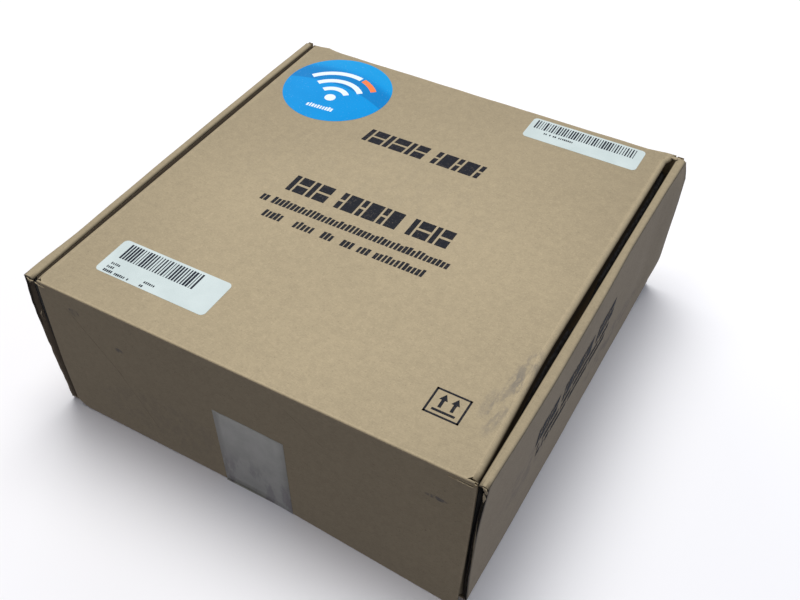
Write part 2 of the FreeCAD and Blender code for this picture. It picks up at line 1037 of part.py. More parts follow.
node(
    rod(
        "reset_button",
        ("breaker_x", NECK_END + " - button_length + button_proud", BREAKER_Z),
        "button_radius",
        "button_length",
        "y",
    )
)

# Rocker switch ---------------------------------------------------------------------------------

frame_blank = join(
    "switch_blank",
    [
        block(
            "switch_flange",
            ("switch_x", FRONT_Y + " - switch_flange_thickness", SWITCH_Z),
            ("switch_flange_width", "switch_flange_thickness", "switch_flange_height"),
            "xz",
        ),
        block(
            "switch_body",
            ("switch_x", FRONT_Y, SWITCH_Z),
            (
                "switch_hollow_width + 2 * switch_wall",
                "switch_depth",
                "switch_hollow_height + 2 * switch_wall",
            ),
            "xz",
        ),
    ],
)
node(
    cut(
        "switch_frame",
        frame_blank,
        [
            block(
                "switch_hollow",
                ("switch_x", FRONT_Y + " - switch_flange_thickness - 1", SWITCH_Z),
                (
                    "switch_hollow_width",
                    "switch_flange_thickness + switch_depth - switch_wall + 1",
                    "switch_hollow_height",
                ),
                "xz",
            )
        ],
    )
)
rocker = panel(
    "switch_rocker",
    "YZ_Plane",
    [
        [
            ("-3", "-rocker_half_height"),
            ("0.5", "-rocker_half_height"),
            ("5", "-3"),
            ("5", "3"),
            ("0.5", "rocker_half_height"),
            ("-3", "rocker_half_height"),
            ("-1.2", "0"),
        ]
    ],
    "rocker_width",
)
rocker.Placement = FreeCAD.Placement(
    V(0, 0, 0), FreeCAD.Rotation(V(1, 0, 0), SIZES["rocker_tilt"])
)
place(rocker, ("switch_x - rocker_width / 2", FRONT_Y + " + rocker_pivot_inset", SWITCH_Z))
node(rocker)

# Network jack, status lights and ground stud ---------------------------------------------------

jack_back = BACK_Y + " + jack_proud - jack_depth"
node(
    cut(
        "network_jack",
        block(
            "jack_blank",
            ("jack_x", jack_back, JACK_Z),
            ("jack_width", "jack_depth", "jack_height"),
            "xz",
        ),
        [
            block(
                "jack_hollow",
                ("jack_x", BACK_Y + " + jack_proud - jack_hollow_depth", JACK_Z),
                ("jack_hollow_width", "jack_hollow_depth + 1", "jack_hollow_height"),
                "xz",
            ),
            block(
                "jack_latch_slot",
                (
                    "jack_x",
                    BACK_Y + " + jack_proud - jack_hollow_depth",
                    JACK_Z + " - jack_hollow_height / 2 - 1",
                ),
                ("jack_hollow_width / 2", "jack_hollow_depth + 1", "3"),
                "xz",
            ),
        ],
    )
)
contacts = []
for index in range(8):
    contacts.append(
        block(
            "contact_%d" % index,
            (
                "jack_x + %s * contact_pitch" % (index - 3.5),
                BACK_Y + " + jack_proud - jack_hollow_depth",
                JACK_Z + " + jack_hollow_height / 2 - 1.4",
            ),
            ("0.4", "10", "0.4"),
            "xz",
        )
    )
node(join("network_jack_contacts", contacts))

lights = []
for index in range(3):
    lights.append(
        rod(
            "light_%d" % index,
            ("light_x + %d * light_pitch" % (index - 1), FRONT_Y + " - 0.6", LIGHT_Z),
            "light_radius",
            "light_length",
            "y",
        )
    )
node(join("status_lights", lights))
node(
    join(
        "ground_stud",
        [
            rod("stud_shank", ("stud_x", BACK_Y + " - 8", STUD_Z), "stud_radius", "18", "y"),
            rod("stud_nut", ("stud_x", BACK_Y + " + 0.1", STUD_Z), "stud_nut_radius", "5", "y"),
        ],
    )
)

# Electronics -----------------------------------------------------------------------------------

BOARD_TOP = "(device_lift + steel + board_lift + board_thickness)"
node(
    block(
        "main_circuit_board",
        ("0", "board_y", FLOOR + " + board_lift"),
        ("board_length", "board_width", "board_thickness"),
    )
)
posts = []
for index, (x, y) in enumerate(CORNERS):
    posts.append(
        rod(
            "post_%d" % index,
            ("%d * (board_length / 2 - 6)" % x, "board_y + %d * (board_width / 2 - 6)" % y, FLOOR),
            "standoff_radius",
            "board_lift",
        )
    )
node(join("board_standoffs", posts))

relays = []
varistors = []
for index, x_mid in enumerate(OUTLET_X):
    relays.append(
        block(
            "relay_%d" % index,
            (x_mid, "board_y - board_width / 2 + 10", BOARD_TOP),
            ("relay_length", "relay_width", "relay_height"),
        )
    )
for index in range(4):
    x_mid = "(-72 + %d * 16)" % index
    varistors.append(
        rod(
            "varistor_%d" % index,
            (x_mid, "board_y + 44", BOARD_TOP + " + varistor_radius + 1"),
            "varistor_radius",
            "varistor_thickness",
            "y",
        )
    )
    for lead in (-1, 1):
        varistors.append(
            block(
                "varistor_lead_%d_%d" % (index, lead + 1),
                (
                    "%s + %d * varistor_radius / 2" % (x_mid, lead),
                    "board_y + 44 + varistor_thickness / 2",
                    BOARD_TOP,
                ),
                ("0.8", "0.8", "varistor_radius"),
            )
        )
node(join("relays", relays))
node(join("varistors", varistors))

choke = doc.addObject("Part::Torus", "choke_winding")
bind(choke, "Radius1", "choke_radius")
bind(choke, "Radius2", "choke_wire_radius")
place(choke, ("30", "board_y + 42", BOARD_TOP + " + choke_wire_radius + 0.6"))
choke_seat = rod("choke_seat", ("30", "board_y + 42", BOARD_TOP), "choke_radius + 2", "1.2")
node(join("line_filter_choke", [choke, choke_seat]))
node(
    block(
        "line_filter_capacitor",
        ("4", "board_y + 50", BOARD_TOP),
        ("capacitor_width", "capacitor_length / 2", "capacitor_height"),
    )
)
node(
    block(
        "auxiliary_power_supply",
        ("82", "board_y + 34", BOARD_TOP),
        ("supply_length", "supply_width", "supply_height"),
    )
)
node(
    rod(
        "line_fuse",
        ("-fuse_length / 2 - 92", "board_y + 44", BOARD_TOP + " + fuse_radius + 0.4"),
        "fuse_radius",
        "fuse_length",
        "x",
    )
)

# Accessory carton, brackets, screws and guide --------------------------------------------------

TRAY_Z = "(device_lift + device_height + outlet_rim_height)"
node(
    cut(
        "accessory_carton_tray",
        block(
            "inner_tray_blank",
            ("0", "0", TRAY_Z),
            ("inner_box_length", "inner_box_width", "inner_box_height - inner_board - 0.2"),
        ),
        [
            block(
                "inner_tray_hollow",
                ("0", "0", TRAY_Z + " + inner_board"),
                (
                    "inner_box_length - 2 * inner_board",
                    "inner_box_width - 2 * inner_board",
                    "inner_box_height",
                ),
            )
        ],
    )
)
cover_z = "(%s + inner_box_height - inner_cover_depth)" % TRAY_Z
node(
    cut(
        "accessory_carton_cover",
        block(
            "inner_cover_blank",
            ("0", "0", cover_z),
            (
                "inner_box_length + 2 * inner_board + 0.6",
                "inner_box_width + 2 * inner_board + 0.6",
                "inner_cover_depth",
            ),
        ),
        [
            block(
                "inner_cover_hollow",
                ("0", "0", cover_z + " - 1"),
                (
                    "inner_box_length + 0.6",
                    "inner_box_width + 0.6",
                    "inner_cover_depth - inner_board + 1",
                ),
            ),
            rod(
                "thumb_notch_left",
                ("0", "-inner_box_width / 2 - 4", cover_z),
                "9",
                "8",
                "y",
            ),
            rod(
                "thumb_notch_right",
                ("0", "inner_box_width / 2 - 4", cover_z),
                "9",
                "8",
                "y",
            ),
        ],
    )
)
brackets = []
bracket_holes = []
SHELF = "(%s + inner_board)" % TRAY_Z
for index, y_mid in enumerate(("-30", "12")):
    brackets.append(
        block(
            "bracket_foot_%d" % index,
            ("-30", y_mid + " + bracket_leg / 2", SHELF),
            ("bracket_length", "bracket_leg", "bracket_steel"),
        )
    )
    brackets.append(
        block(
            "bracket_web_%d" % index,
            ("-30", y_mid + " + bracket_steel / 2", SHELF),
            ("bracket_length", "bracket_steel", "bracket_leg"),
        )
    )
    for hole in (-1, 1):
        bracket_holes.append(
            rod(
                "bracket_hole_%d_%d" % (index, hole + 1),
                ("-30 + %d * 20" % hole, y_mid + " + bracket_leg / 2 + 1", SHELF + " - 1"),
                "bracket_hole_radius",
                "bracket_steel + 2",
            )
        )
node(cut("mounting_brackets", join("bracket_blank", brackets), bracket_holes))
loose = []
for index in range(4):
    spot = ("40 + %d * 10" % index, "0", SHELF)
    loose.append(rod("loose_head_%d" % index, spot, "4", "2.4"))
    loose.append(rod("loose_shank_%d" % index, spot, "1.8", "14"))
node(join("bracket_screws", loose))

GUIDE_Z = "(%s + inner_box_height)" % TRAY_Z
half_guide = "guide_length / 2"
node(
    panel(
        "quick_guide",
        "XZ_Plane",
        [
            [
                ("-" + half_guide, "0"),
                (half_guide, "0"),
                (half_guide, "guide_leaf"),
                ("-" + half_guide + " + guide_leaf", "guide_leaf"),
                ("-" + half_guide + " + guide_leaf", "guide_leaf + guide_fold_gap"),
                (half_guide, "guide_leaf + guide_fold_gap"),
                (half_guide, "2 * guide_leaf + guide_fold_gap"),
                ("-" + half_guide, "2 * guide_leaf + guide_fold_gap"),
            ]
        ],
        "guide_width",
        ("0", "guide_width / 2", GUIDE_Z),
    )
)

# Check and export ------------------------------------------------------------------------------

doc.recompute()
for thing in doc.Objects:
    bad = [word for word in thing.State if word in ("Invalid", "Error")]
    if bad:
        raise SystemExit("%s: %s" % (thing.Label, bad))
names = [thing.Label for thing in NODES]
if len(set(names)) != len(names):
    raise SystemExit("two sub-parts share a name")
os.makedirs("parts", exist_ok=True)
for thing in NODES:
    shape = thing.Shape
    if shape.isNull() or not shape.isValid() or shape.Volume <= 0:
        raise SystemExit("%s has no sound solid" % thing.Label)
    shape.exportStep("parts/%s.step" % thing.Label)
print("%d sub-parts" % len(NODES))
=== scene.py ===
import json
import math
import random

import bmesh
import bpy
from mathutils import Matrix, Vector, noise


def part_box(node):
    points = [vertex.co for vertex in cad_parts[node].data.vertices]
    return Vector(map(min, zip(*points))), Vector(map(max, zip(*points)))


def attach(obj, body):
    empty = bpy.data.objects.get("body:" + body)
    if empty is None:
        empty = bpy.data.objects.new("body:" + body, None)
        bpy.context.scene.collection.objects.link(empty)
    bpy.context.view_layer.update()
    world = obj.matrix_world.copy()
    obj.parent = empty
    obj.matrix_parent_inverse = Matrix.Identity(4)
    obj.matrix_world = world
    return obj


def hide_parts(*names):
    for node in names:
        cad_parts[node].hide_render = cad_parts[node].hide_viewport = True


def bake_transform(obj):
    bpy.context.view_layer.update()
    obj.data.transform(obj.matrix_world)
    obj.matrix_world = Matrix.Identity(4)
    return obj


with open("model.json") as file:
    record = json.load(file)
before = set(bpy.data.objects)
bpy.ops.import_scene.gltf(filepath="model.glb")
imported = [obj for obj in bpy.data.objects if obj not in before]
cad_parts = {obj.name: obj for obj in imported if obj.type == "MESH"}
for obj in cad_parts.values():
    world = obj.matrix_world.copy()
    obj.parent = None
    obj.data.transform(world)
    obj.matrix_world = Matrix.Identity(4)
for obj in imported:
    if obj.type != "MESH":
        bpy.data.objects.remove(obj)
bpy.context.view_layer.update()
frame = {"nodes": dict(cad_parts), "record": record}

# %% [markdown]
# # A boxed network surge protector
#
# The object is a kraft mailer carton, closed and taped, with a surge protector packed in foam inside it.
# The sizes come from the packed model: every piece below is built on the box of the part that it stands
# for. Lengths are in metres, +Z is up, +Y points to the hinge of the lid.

MM = 0.001
NODES = frame["nodes"]
BODY_OF = {}
for body_name, members in frame["record"]["behaviour"]["bodies"].items():
    for member in members:
        BODY_OF[member] = body_name
SLOT_OF = {part["node"]: part["material_slot"] for part in frame["record"]["subparts"]}

# %% [markdown]
# ## Writing node trees as formulas
#
# A paper surface needs a lot of small sums: this noise times that mask, one minus the other. Wiring Math
# nodes one by one hides the idea, so a tiny class lets an expression on sockets add its own Math nodes.
# Every other node comes from one method, which sets the node's options first and its sockets after.


# %% A socket that can be calculated with
class Num:
    """One output socket of a node tree. Arithmetic on it adds Math nodes."""

    def __init__(self, tree, socket):
        self.tree = tree
        self.socket = socket

    def math(self, operation, *others):
        values = dict(enumerate((self,) + others))
        return self.tree.add("ShaderNodeMath", {"operation": operation}, values)

    def __add__(self, other):
        return self.math("ADD", other)

    def __mul__(self, other):
        return self.math("MULTIPLY", other)

    __radd__ = __add__
    __rmul__ = __mul__

    def __sub__(self, other):
        return self.math("SUBTRACT", other)

    def __rsub__(self, other):
        return self.tree.number(other) - self

    def __truediv__(self, other):
        return self.math("DIVIDE", other)

    def sine(self):
        return self.math("SINE")

    def size(self):
        return self.math("ABSOLUTE")

    def above(self, edge, soft):
        """0 below the edge, 1 above it, with a soft step as wide as soft."""
        return self.tree.step(self, edge - soft / 2, edge + soft / 2)

    def below(self, edge, soft):
        return self.tree.step(self, edge + soft / 2, edge - soft / 2)


print("a socket understands", [name for name in vars(Num) if name[0] != "_"])


# %% A tree with one method that adds any node
class Tree:
    """A node tree of a material or of a Geometry Nodes group."""

    def __init__(self, tree):
        self.tree = tree

    def put(self, socket, value):
        if isinstance(value, Num):
            self.tree.links.new(value.socket, socket)
        elif value is not None:
            socket.default_value = value

    def add(self, kind, settings=None, sockets=None, out=0):
        made = self.tree.nodes.new(kind)
        for name, value in (settings or {}).items():
            setattr(made, name, value)
        for name, value in (sockets or {}).items():
            self.put(made.inputs[name], value)
        return Num(self, made.outputs[out])

    def number(self, value):
        return self.add("ShaderNodeMath", {"operation": "ADD"}, {0: float(value), 1: 0.0})

    def step(self, value, low, high):
        sockets = {"Value": value, "From Min": low, "From Max": high}
        return self.add("ShaderNodeMapRange", {"interpolation_type": "SMOOTHSTEP"}, sockets)

    def blend(self, amount, first, second):
        """Mixes two colours, given as tuples or sockets."""
        first = (*first, 1.0) if isinstance(first, tuple) else first
        second = (*second, 1.0) if isinstance(second, tuple) else second
        return self.add(
            "ShaderNodeMix", {"data_type": "RGBA"}, {0: amount, 6: first, 7: second}, out=2
        )

    def axes(self, vector):
        parts = self.add("ShaderNodeSeparateXYZ", None, {0: vector})
        return [Num(self, parts.socket.node.outputs[index]) for index in range(3)]

    def vector(self, x, y, z):
        return self.add("ShaderNodeCombineXYZ", None, {0: x, 1: y, 2: z})

    def grain(self, at, scale, detail=3.0, rough=0.55, squash=None):
        if squash:
            at = self.add("ShaderNodeMapping", None, {"Vector": at, "Scale": squash})
        sockets = {"Vector": at, "Scale": scale, "Detail": detail, "Roughness": rough}
        return self.add("ShaderNodeTexNoise", None, sockets)


print("a tree understands", [name for name in vars(Tree) if name[0] != "_"])

# %% [markdown]
# ## Colours and materials
#
# A colour is easiest to name as a screen colour from 0 to 255, but a shader works in linear light, so it is
# converted once. Every material here is one Principled shader. A recipe links only what changes over the surface,
# and what is the same all over is set on the shader's own socket, where an export can read it.

# %% Colours and materials
def linear(red, green, blue):
    """A screen colour, 0 to 255, as the linear colour a shader works in."""
    out = []
    for part in (red, green, blue):
        part = part / 255
        out.append(part / 12.92 if part <= 0.04045 else ((part + 0.055) / 1.055) ** 2.4)
    return tuple(out)


def material(name, recipe, **plain):
    """A material whose recipe links what varies. What is the same all over is set on the shader itself."""
    made = bpy.data.materials.new(name)
    made.use_nodes = True
    shader = made.node_tree.nodes["Principled BSDF"]
    tree = Tree(made.node_tree)
    for socket, value in plain.items():
        shader.inputs[socket.replace("_", " ")].default_value = value
    if recipe:
        at = tree.add("ShaderNodeTexCoord", None, None, out=3)
        for socket, value in recipe(tree, at).items():
            if socket == "Height":
                value, strength, distance = value
                sockets = {"Strength": strength, "Distance": distance, "Height": value}
                tree.put(shader.inputs["Normal"], tree.add("ShaderNodeBump", None, sockets))
            else:
                tree.put(shader.inputs[socket], value)
    return made


print("mid grey, 128 on a screen, is", round(linear(128, 128, 128)[0], 3), "in linear light")

# %% [markdown]
# ## Kraft paper
#
# Unbleached kraft liner is a warm grey-brown sheet full of fibres: fine short hairs, lighter and darker
# specks, and a slow cloudiness. A scan of real paper could be wrapped round the box, but then it would
# stretch at the folds. Noise on the object's own coordinates has the same scale on every panel and never
# shows a seam, so that is used. Two attributes stored on the points steer it: wear is 1 where a fold or an
# edge is rubbed, and shade darkens the board towards nearly black, mostly as painted shade in gaps.

# %% Tones, and the marks that paper can carry
OVAL_EDGE = 0.9
SCRATCH_END = 4 * MM


def scaled(tone, factor):
    """A tone made lighter or darker, never past full white."""
    return tuple(min(1.0, part * factor) for part in tone)


def patch(first, second, at, size):
    """1 inside an oval round a place in two coordinates, 0 outside it."""
    sideways = ((first - at[0]) / size[0]).math("POWER", 2.0)
    upwards = ((second - at[1]) / size[1]).math("POWER", 2.0)
    return (sideways + upwards).below(1.0, OVAL_EDGE)


def scratch(first, second, start, end, width):
    """1 along a thin straight line between two places, 0 away from it."""
    run = Vector(end) - Vector(start)
    along = run.normalized()
    middle = (Vector(start) + Vector(end)) / 2
    away = (first - middle.x) * along.y - (second - middle.y) * along.x
    reach = (first - middle.x) * along.x + (second - middle.y) * along.y
    return away.size().below(width, width) * reach.size().below(run.length / 2, SCRATCH_END)


PAPER_LIGHT = 1.20
KRAFT = scaled(linear(178, 163, 132), 1 / PAPER_LIGHT)
print("kraft", [round(part, 3) for part in KRAFT])

# %% The kraft paper material
CLOUD_SCALE = 11.0
MOTTLE_SCALE = 210.0
FINE_SCALE = 1500.0
HAIR_SCALES = (1900.0, 1800.0)
HAIR_STRETCH = 0.28
SPECK_SCALE = 1000.0
PAINTED_SHADE_TONE = 0.01


def kraft(name, tone, scuffs=(), scratches=(), plane="xy"):
    """Kraft liner. Scuffs are ovals and scratches are lines, placed in the plane that the sheet lies in."""

    def recipe(tree, at):
        x, y, z = tree.axes(at)
        first, second = {"xy": (x, y), "xz": (x, z), "yz": (y, z)}[plane]
        cloud = tree.grain(at, CLOUD_SCALE, 3.0)
        mottle = tree.grain(at, MOTTLE_SCALE, 3.0, 0.6)
        fine = tree.grain(at, FINE_SCALE, 3.0, 0.7)
        hairs_x = tree.grain(at, HAIR_SCALES[0], 2.0, 0.5, (HAIR_STRETCH, 1.0, 1.0))
        hairs_y = tree.grain(at, HAIR_SCALES[1], 2.0, 0.5, (1.0, HAIR_STRETCH, 1.0))
        specks = tree.grain(at, SPECK_SCALE, 1.0, 0.4)
        rubbed = tree.add("ShaderNodeAttribute", {"attribute_name": "wear"}, None, out=2)
        deep = tree.add("ShaderNodeAttribute", {"attribute_name": "shade"}, None, out=2)
        torn = (rubbed * (mottle * 0.8 + fine * 0.8)).above(0.62, 0.30)
        share = cloud.above(0.5, 0.6) * 0.30 + mottle.above(0.5, 0.4) * 0.35
        share = share + fine.above(0.5, 0.4) * 0.35
        colour = tree.blend(share, scaled(tone, 0.88), scaled(tone, 1.12))
        pale_hairs = hairs_x.above(0.62, 0.14) + hairs_y.above(0.62, 0.14)
        colour = tree.blend(pale_hairs * 0.22, colour, scaled(tone, 1.4))
        colour = tree.blend(hairs_x.below(0.38, 0.12) * 0.22, colour, scaled(tone, 0.6))
        colour = tree.blend(specks.above(0.74, 0.05) * 0.5, colour, scaled(tone, 0.42))
        for place, size, strength in scuffs:
            smear = tree.grain(at, 160.0, 4.0, 0.7, (1.6, 0.5, 0.8)).above(0.52, 0.20)
            mask = patch(first, second, place, size) * smear * strength
            colour = tree.blend(mask, colour, (tone[0] * 0.42, tone[1] * 0.47, tone[2] * 0.66))
        for start, end, width, strength in scratches:
            mask = scratch(first, second, start, end, width) * mottle.above(0.45, 0.3) * strength
            colour = tree.blend(mask, colour, scaled(tone, 0.45))
        colour = tree.blend(torn * 0.35, colour, scaled(tone, 1.35))
        # Painted shade: where the shade attribute is 1 the paper is blended to almost black.
        colour = tree.blend(deep, colour, scaled(tone, PAINTED_SHADE_TONE))
        height = hairs_x * 0.35 + hairs_y * 0.35 + mottle * 0.5 + fine * 0.3 + torn * 0.5
        return {"Base Color": colour, "Roughness": mottle * 0.12 + 0.80, "Height": (height, 0.30, 0.00025)}

    return material(name, recipe, Specular_IOR_Level=0.25)


print("a kraft recipe has", len(HAIR_SCALES) + 4, "layers of noise")

# %% The papers of this carton
paper_lid = kraft(
    "kraft liner, lid", KRAFT,
    scuffs=[
        ((0.128, -0.094), (0.005, 0.022), 0.42), ((0.131, -0.070), (0.006, 0.016), 0.50),
        ((0.122, -0.098), (0.004, 0.010), 0.25), ((-0.020, 0.020), (0.09, 0.05), 0.06),
    ],
)
paper_front = kraft(
    "kraft liner, upright front and back", KRAFT,
    scuffs=[
        ((-0.112, 0.099), (0.004, 0.003), 0.8), ((-0.084, 0.082), (0.003, 0.002), 0.8),
        ((0.118, 0.088), (0.006, 0.0015), 0.9), ((-0.060, 0.030), (0.05, 0.02), 0.15),
    ],
    scratches=[
        ((-0.118, 0.100), (-0.088, 0.058), 0.5 * MM, 0.5),
        ((-0.090, 0.060), (-0.070, 0.020), 0.4 * MM, 0.35),
        ((0.030, 0.100), (0.052, 0.084), 0.4 * MM, 0.35),
    ],
    plane="xz",
)
# This copy of the kraft is tinted cooler than the lid's: a painted cast of the cool light on the side walls.
paper_side_painted_cool = kraft(
    "kraft liner, sides", (KRAFT[0] * 1.01, KRAFT[1] * 0.99, KRAFT[2] * 1.08),
    scuffs=[((0.060, 0.030), (0.050, 0.010), 0.45), ((-0.080, 0.050), (0.030, 0.015), 0.3)],
    plane="yz",
)
paper_core = kraft("fluted medium", scaled(KRAFT, 0.66))
paper_torn = kraft("torn liner", scaled(KRAFT, 1.25))
print("papers", [paper.name for paper in (paper_lid, paper_front, paper_side_painted_cool, paper_core, paper_torn)])

# %% [markdown]
# ## Making meshes and handing them over
#
# Blender's mesh code keeps the pieces light: an outline is drawn flat, cut into a grid so that it can bend,
# given a thickness, then moved into place. Each finished object stays at the origin with its place in its
# mesh.


# %% Mesh helpers
def new_object(name, mesh, *materials):
    for one in materials:
        mesh.materials.append(one)
    made = bpy.data.objects.new(name, mesh)
    bpy.context.scene.collection.objects.link(made)
    return made


def finish_mesh(name, work, *materials, smooth=False):
    bmesh.ops.recalc_face_normals(work, faces=work.faces)
    mesh = bpy.data.meshes.new(name)
    work.to_mesh(mesh)
    work.free()
    for face in mesh.polygons:
        face.use_smooth = smooth
    return new_object(name, mesh, *materials)


def cut_grid(work, steps_u, steps_v):
    """Cuts flat faces along lines of constant x and y, so that the sheet can bend."""
    for axis, steps in ((Vector((1, 0, 0)), steps_u), (Vector((0, 1, 0)), steps_v)):
        for place in steps:
            everything = work.verts[:] + work.edges[:] + work.faces[:]
            bmesh.ops.bisect_plane(work, geom=everything, plane_co=axis * place, plane_no=axis, dist=1e-7)


def thicken(work, low, high):
    """Gives a flat sheet at z = 0 its thickness, from low to high."""
    for point in work.verts:
        point.co.z = low
    made = bmesh.ops.extrude_face_region(work, geom=work.faces[:])
    for item in made["geom"]:
        if isinstance(item, bmesh.types.BMVert):
            item.co.z = high


def flat_solid(work, outline, low, high, steps_u=(), steps_v=()):
    """Adds one closed sheet with this outline to the mesh that is being made."""
    sheet = bmesh.new()
    sheet.faces.new([sheet.verts.new((u, v, 0.0)) for u, v in outline])
    cut_grid(sheet, steps_u, steps_v)
    thicken(sheet, low, high)
    part = bpy.data.meshes.new("part")
    sheet.to_mesh(part)
    sheet.free()
    work.from_mesh(part)
    bpy.data.meshes.remove(part)


def join_rings(work, rings):
    """Faces between rings of points that follow each other, and a face over each end."""
    size = len(rings[0])
    for first, second in zip(rings, rings[1:]):
        for index in range(size):
            after = (index + 1) % size
            work.faces.new((first[index], first[after], second[after], second[index]))
    work.faces.new(rings[0])
    work.faces.new(rings[-1])


def bend_points(piece, rule):
    for point in piece.data.vertices:
        point.co = rule(point.co)


def hand_over(piece, body, slot, *replaced):
    """Attaches a finished piece to the empty of its body and hides the nodes that it stands for. The slot is not
    used.
    """
    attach(piece, body)
    if replaced:
        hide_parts(*replaced)
    print(piece.name, "on", body, len(piece.data.polygons), "faces")
    return piece


# %% [markdown]
# ## Corrugated board
#
# Real board is two flat liners with a wavy sheet glued between them, and the wave shows wherever the board
# is cut. A texture could fake that edge, but not where light falls into it, so every panel here is real
# board. The wave is a rule, so Geometry Nodes makes it: a grid is pushed up and down by a sine, its ends
# follow the panel's outline, and it gets the paper's thickness.

# %% Geometry groups: their inputs, their end, and how one is run


def group_with(name, *numbers):
    """An empty geometry group with a material input and named number inputs."""
    group = bpy.data.node_groups.new(name, "GeometryNodeTree")
    face = group.interface
    face.new_socket("Geometry", in_out="OUTPUT", socket_type="NodeSocketGeometry")
    face.new_socket("Geometry", in_out="INPUT", socket_type="NodeSocketGeometry")
    for number in numbers:
        kind = "NodeSocketInt" if number.endswith("count") or number == "Seed" else "NodeSocketFloat"
        face.new_socket(number, in_out="INPUT", socket_type=kind)
    face.new_socket("Material", in_out="INPUT", socket_type="NodeSocketMaterial")
    tree = Tree(group)
    source = group.nodes.new("NodeGroupInput")
    inputs = {socket.name: Num(tree, socket) for socket in source.outputs if socket.name}
    return group, tree, inputs


def close_group(group, tree, geometry, paint):
    real = tree.add("GeometryNodeRealizeInstances", None, {0: geometry})
    painted = tree.add("GeometryNodeSetMaterial", None, {"Geometry": real, "Material": paint})
    end = group.nodes.new("NodeGroupOutput")
    group.links.new(painted.socket, end.inputs[0])


def grow(group, paint, **numbers):
    """Runs a geometry group on an empty mesh and gives back the plain mesh it made."""
    blank = bpy.data.objects.new("grown", bpy.data.meshes.new("grown"))
    bpy.context.scene.collection.objects.link(blank)
    run = blank.modifiers.new("grow", "NODES")
    run.node_group = group
    wanted = dict(numbers, Material=paint)
    for item in group.interface.items_tree:
        if item.in_out == "INPUT" and item.name.replace(" ", "_") in wanted:
            run[item.identifier] = wanted[item.name.replace(" ", "_")]
    graph = bpy.context.evaluated_depsgraph_get()
    graph.update()
    mesh = bpy.data.meshes.new_from_object(blank.evaluated_get(graph))
    blank.modifiers.clear()
    bpy.data.objects.remove(blank)
    return mesh

print("a group's own inputs: Geometry and Material")


# %% The fluted sheet
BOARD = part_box("lid_panel")[1].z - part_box("lid_panel")[0].z
LINER = 0.22 * MM
MEDIUM = 0.16 * MM
GLUE_ROOM = 0.06 * MM
FLUTE_PITCH = 3.4 * MM
POINTS_PER_WAVE = 6.0


def make_flute_group():
    ends = ("Low start", "Low end", "High start", "High end")
    sizes = ("Pitch", "Height", "Paper", "Row count")
    group, tree, given = group_with("fluted medium", "Length", *ends, *sizes)
    waves = given["Length"] / given["Pitch"]
    columns = (waves * POINTS_PER_WAVE).math("CEIL") + 1.0
    sockets = {"Size X": given["Length"], "Size Y": 1.0}
    sockets.update({"Vertices X": columns, "Vertices Y": given["Row count"]})
    grid = tree.add("GeometryNodeMeshGrid", None, sockets)
    x, y, _ = tree.axes(tree.add("GeometryNodeInputPosition"))
    share = x / given["Length"] + 0.5
    low = given["Low start"] + (given["Low end"] - given["Low start"]) * share
    high = given["High start"] + (given["High end"] - given["High start"]) * share
    along = x + given["Length"] * 0.5
    across = low + (y + 0.5) * (high - low)
    wave = (along / given["Pitch"] * (2 * math.pi)).sine() * (given["Height"] - given["Paper"]) * 0.5
    place = tree.vector(along, across, wave - given["Paper"] * 0.5)
    sheet = tree.add("GeometryNodeSetPosition", None, {"Geometry": grid, "Position": place})
    upwards = tree.vector(0.0, 0.0, 1.0)
    sockets = {"Mesh": sheet, "Offset": upwards, "Offset Scale": given["Paper"], "Individual": False}
    raised = tree.add("GeometryNodeExtrudeMesh", {"mode": "FACES"}, sockets)
    under = tree.add("GeometryNodeFlipFaces", None, {"Mesh": sheet})
    both = tree.add("GeometryNodeJoinGeometry", None, {0: raised})
    tree.tree.links.new(under.socket, both.socket.node.inputs[0])
    closed = tree.add("GeometryNodeMergeByDistance", None, {"Geometry": both, "Distance": 1e-6})
    close_group(group, tree, closed, given["Material"])
    return group


FLUTES = make_flute_group()


def flute_mesh(length, low_start, low_end, high_start, high_end, rows=2):
    """A fluted sheet that starts at the origin, with its low and high side given at its start and its end."""
    height = BOARD - 2 * LINER - GLUE_ROOM
    return grow(
        FLUTES, paper_core, Length=length, Low_start=low_start, Low_end=low_end, High_start=high_start,
        High_end=high_end, Pitch=FLUTE_PITCH, Height=height, Paper=MEDIUM, Row_count=rows,
    )


test = flute_mesh(0.1, 0.0, 0.0, 0.05, 0.05)
print("fluted sheet, 100 mm long:", len(test.polygons), "faces")
bpy.data.meshes.remove(test)

# %% [markdown]
# ## Panels
#
# A panel is built lying flat: u runs along its width, v up its height, and the third direction points out
# of the carton. Then it is stood in its place and bent. A bevelled cube would be quicker, but its edges
# would be blank. The points near an edge get a wear value, which the paper material reads.

# %% Standing a flat panel in its place
X, Y, Z = Vector((1, 0, 0)), Vector((0, 1, 0)), Vector((0, 0, 1))
FACING = {"+z": (X, Y), "-z": (X, -Y), "-y": (X, Z), "+y": (-X, Z), "+x": (Y, Z), "-x": (-Y, Z)}


def panel_frame(node, facing):
    """The matrix that stands a flat panel in the place of a node, and the panel's width and height."""
    low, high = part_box(node)
    u, v = FACING[facing]
    out = u.cross(v)
    corner = Vector([0.0, 0.0, 0.0])
    for axis in range(3):
        direction = u[axis] + v[axis] + out[axis]
        corner[axis] = low[axis] if direction > 0 else high[axis]
    size = high - low
    width = abs(size.dot(u))
    height = abs(size.dot(v))
    place = Matrix((u, v, out)).transposed().to_4x4()
    return Matrix.Translation(corner) @ place, width, height

print("panels can face", sorted(FACING))

# %% [markdown]
# ## Points where the board bends
#
# A flat face can't bend, so every liner is cut into a grid: widely in the middle, closely by the edges,
# where folds and knocks leave their marks. Subdividing everything evenly would cost many times the faces.

# %% Cut lines and wear
EDGE_LINES = (1.2 * MM, 3.2 * MM, 6.5 * MM)
EDGE_ZONE = 13 * MM
SHORT_SIDE = 30 * MM
WEAR_REACH = 2.5 * MM


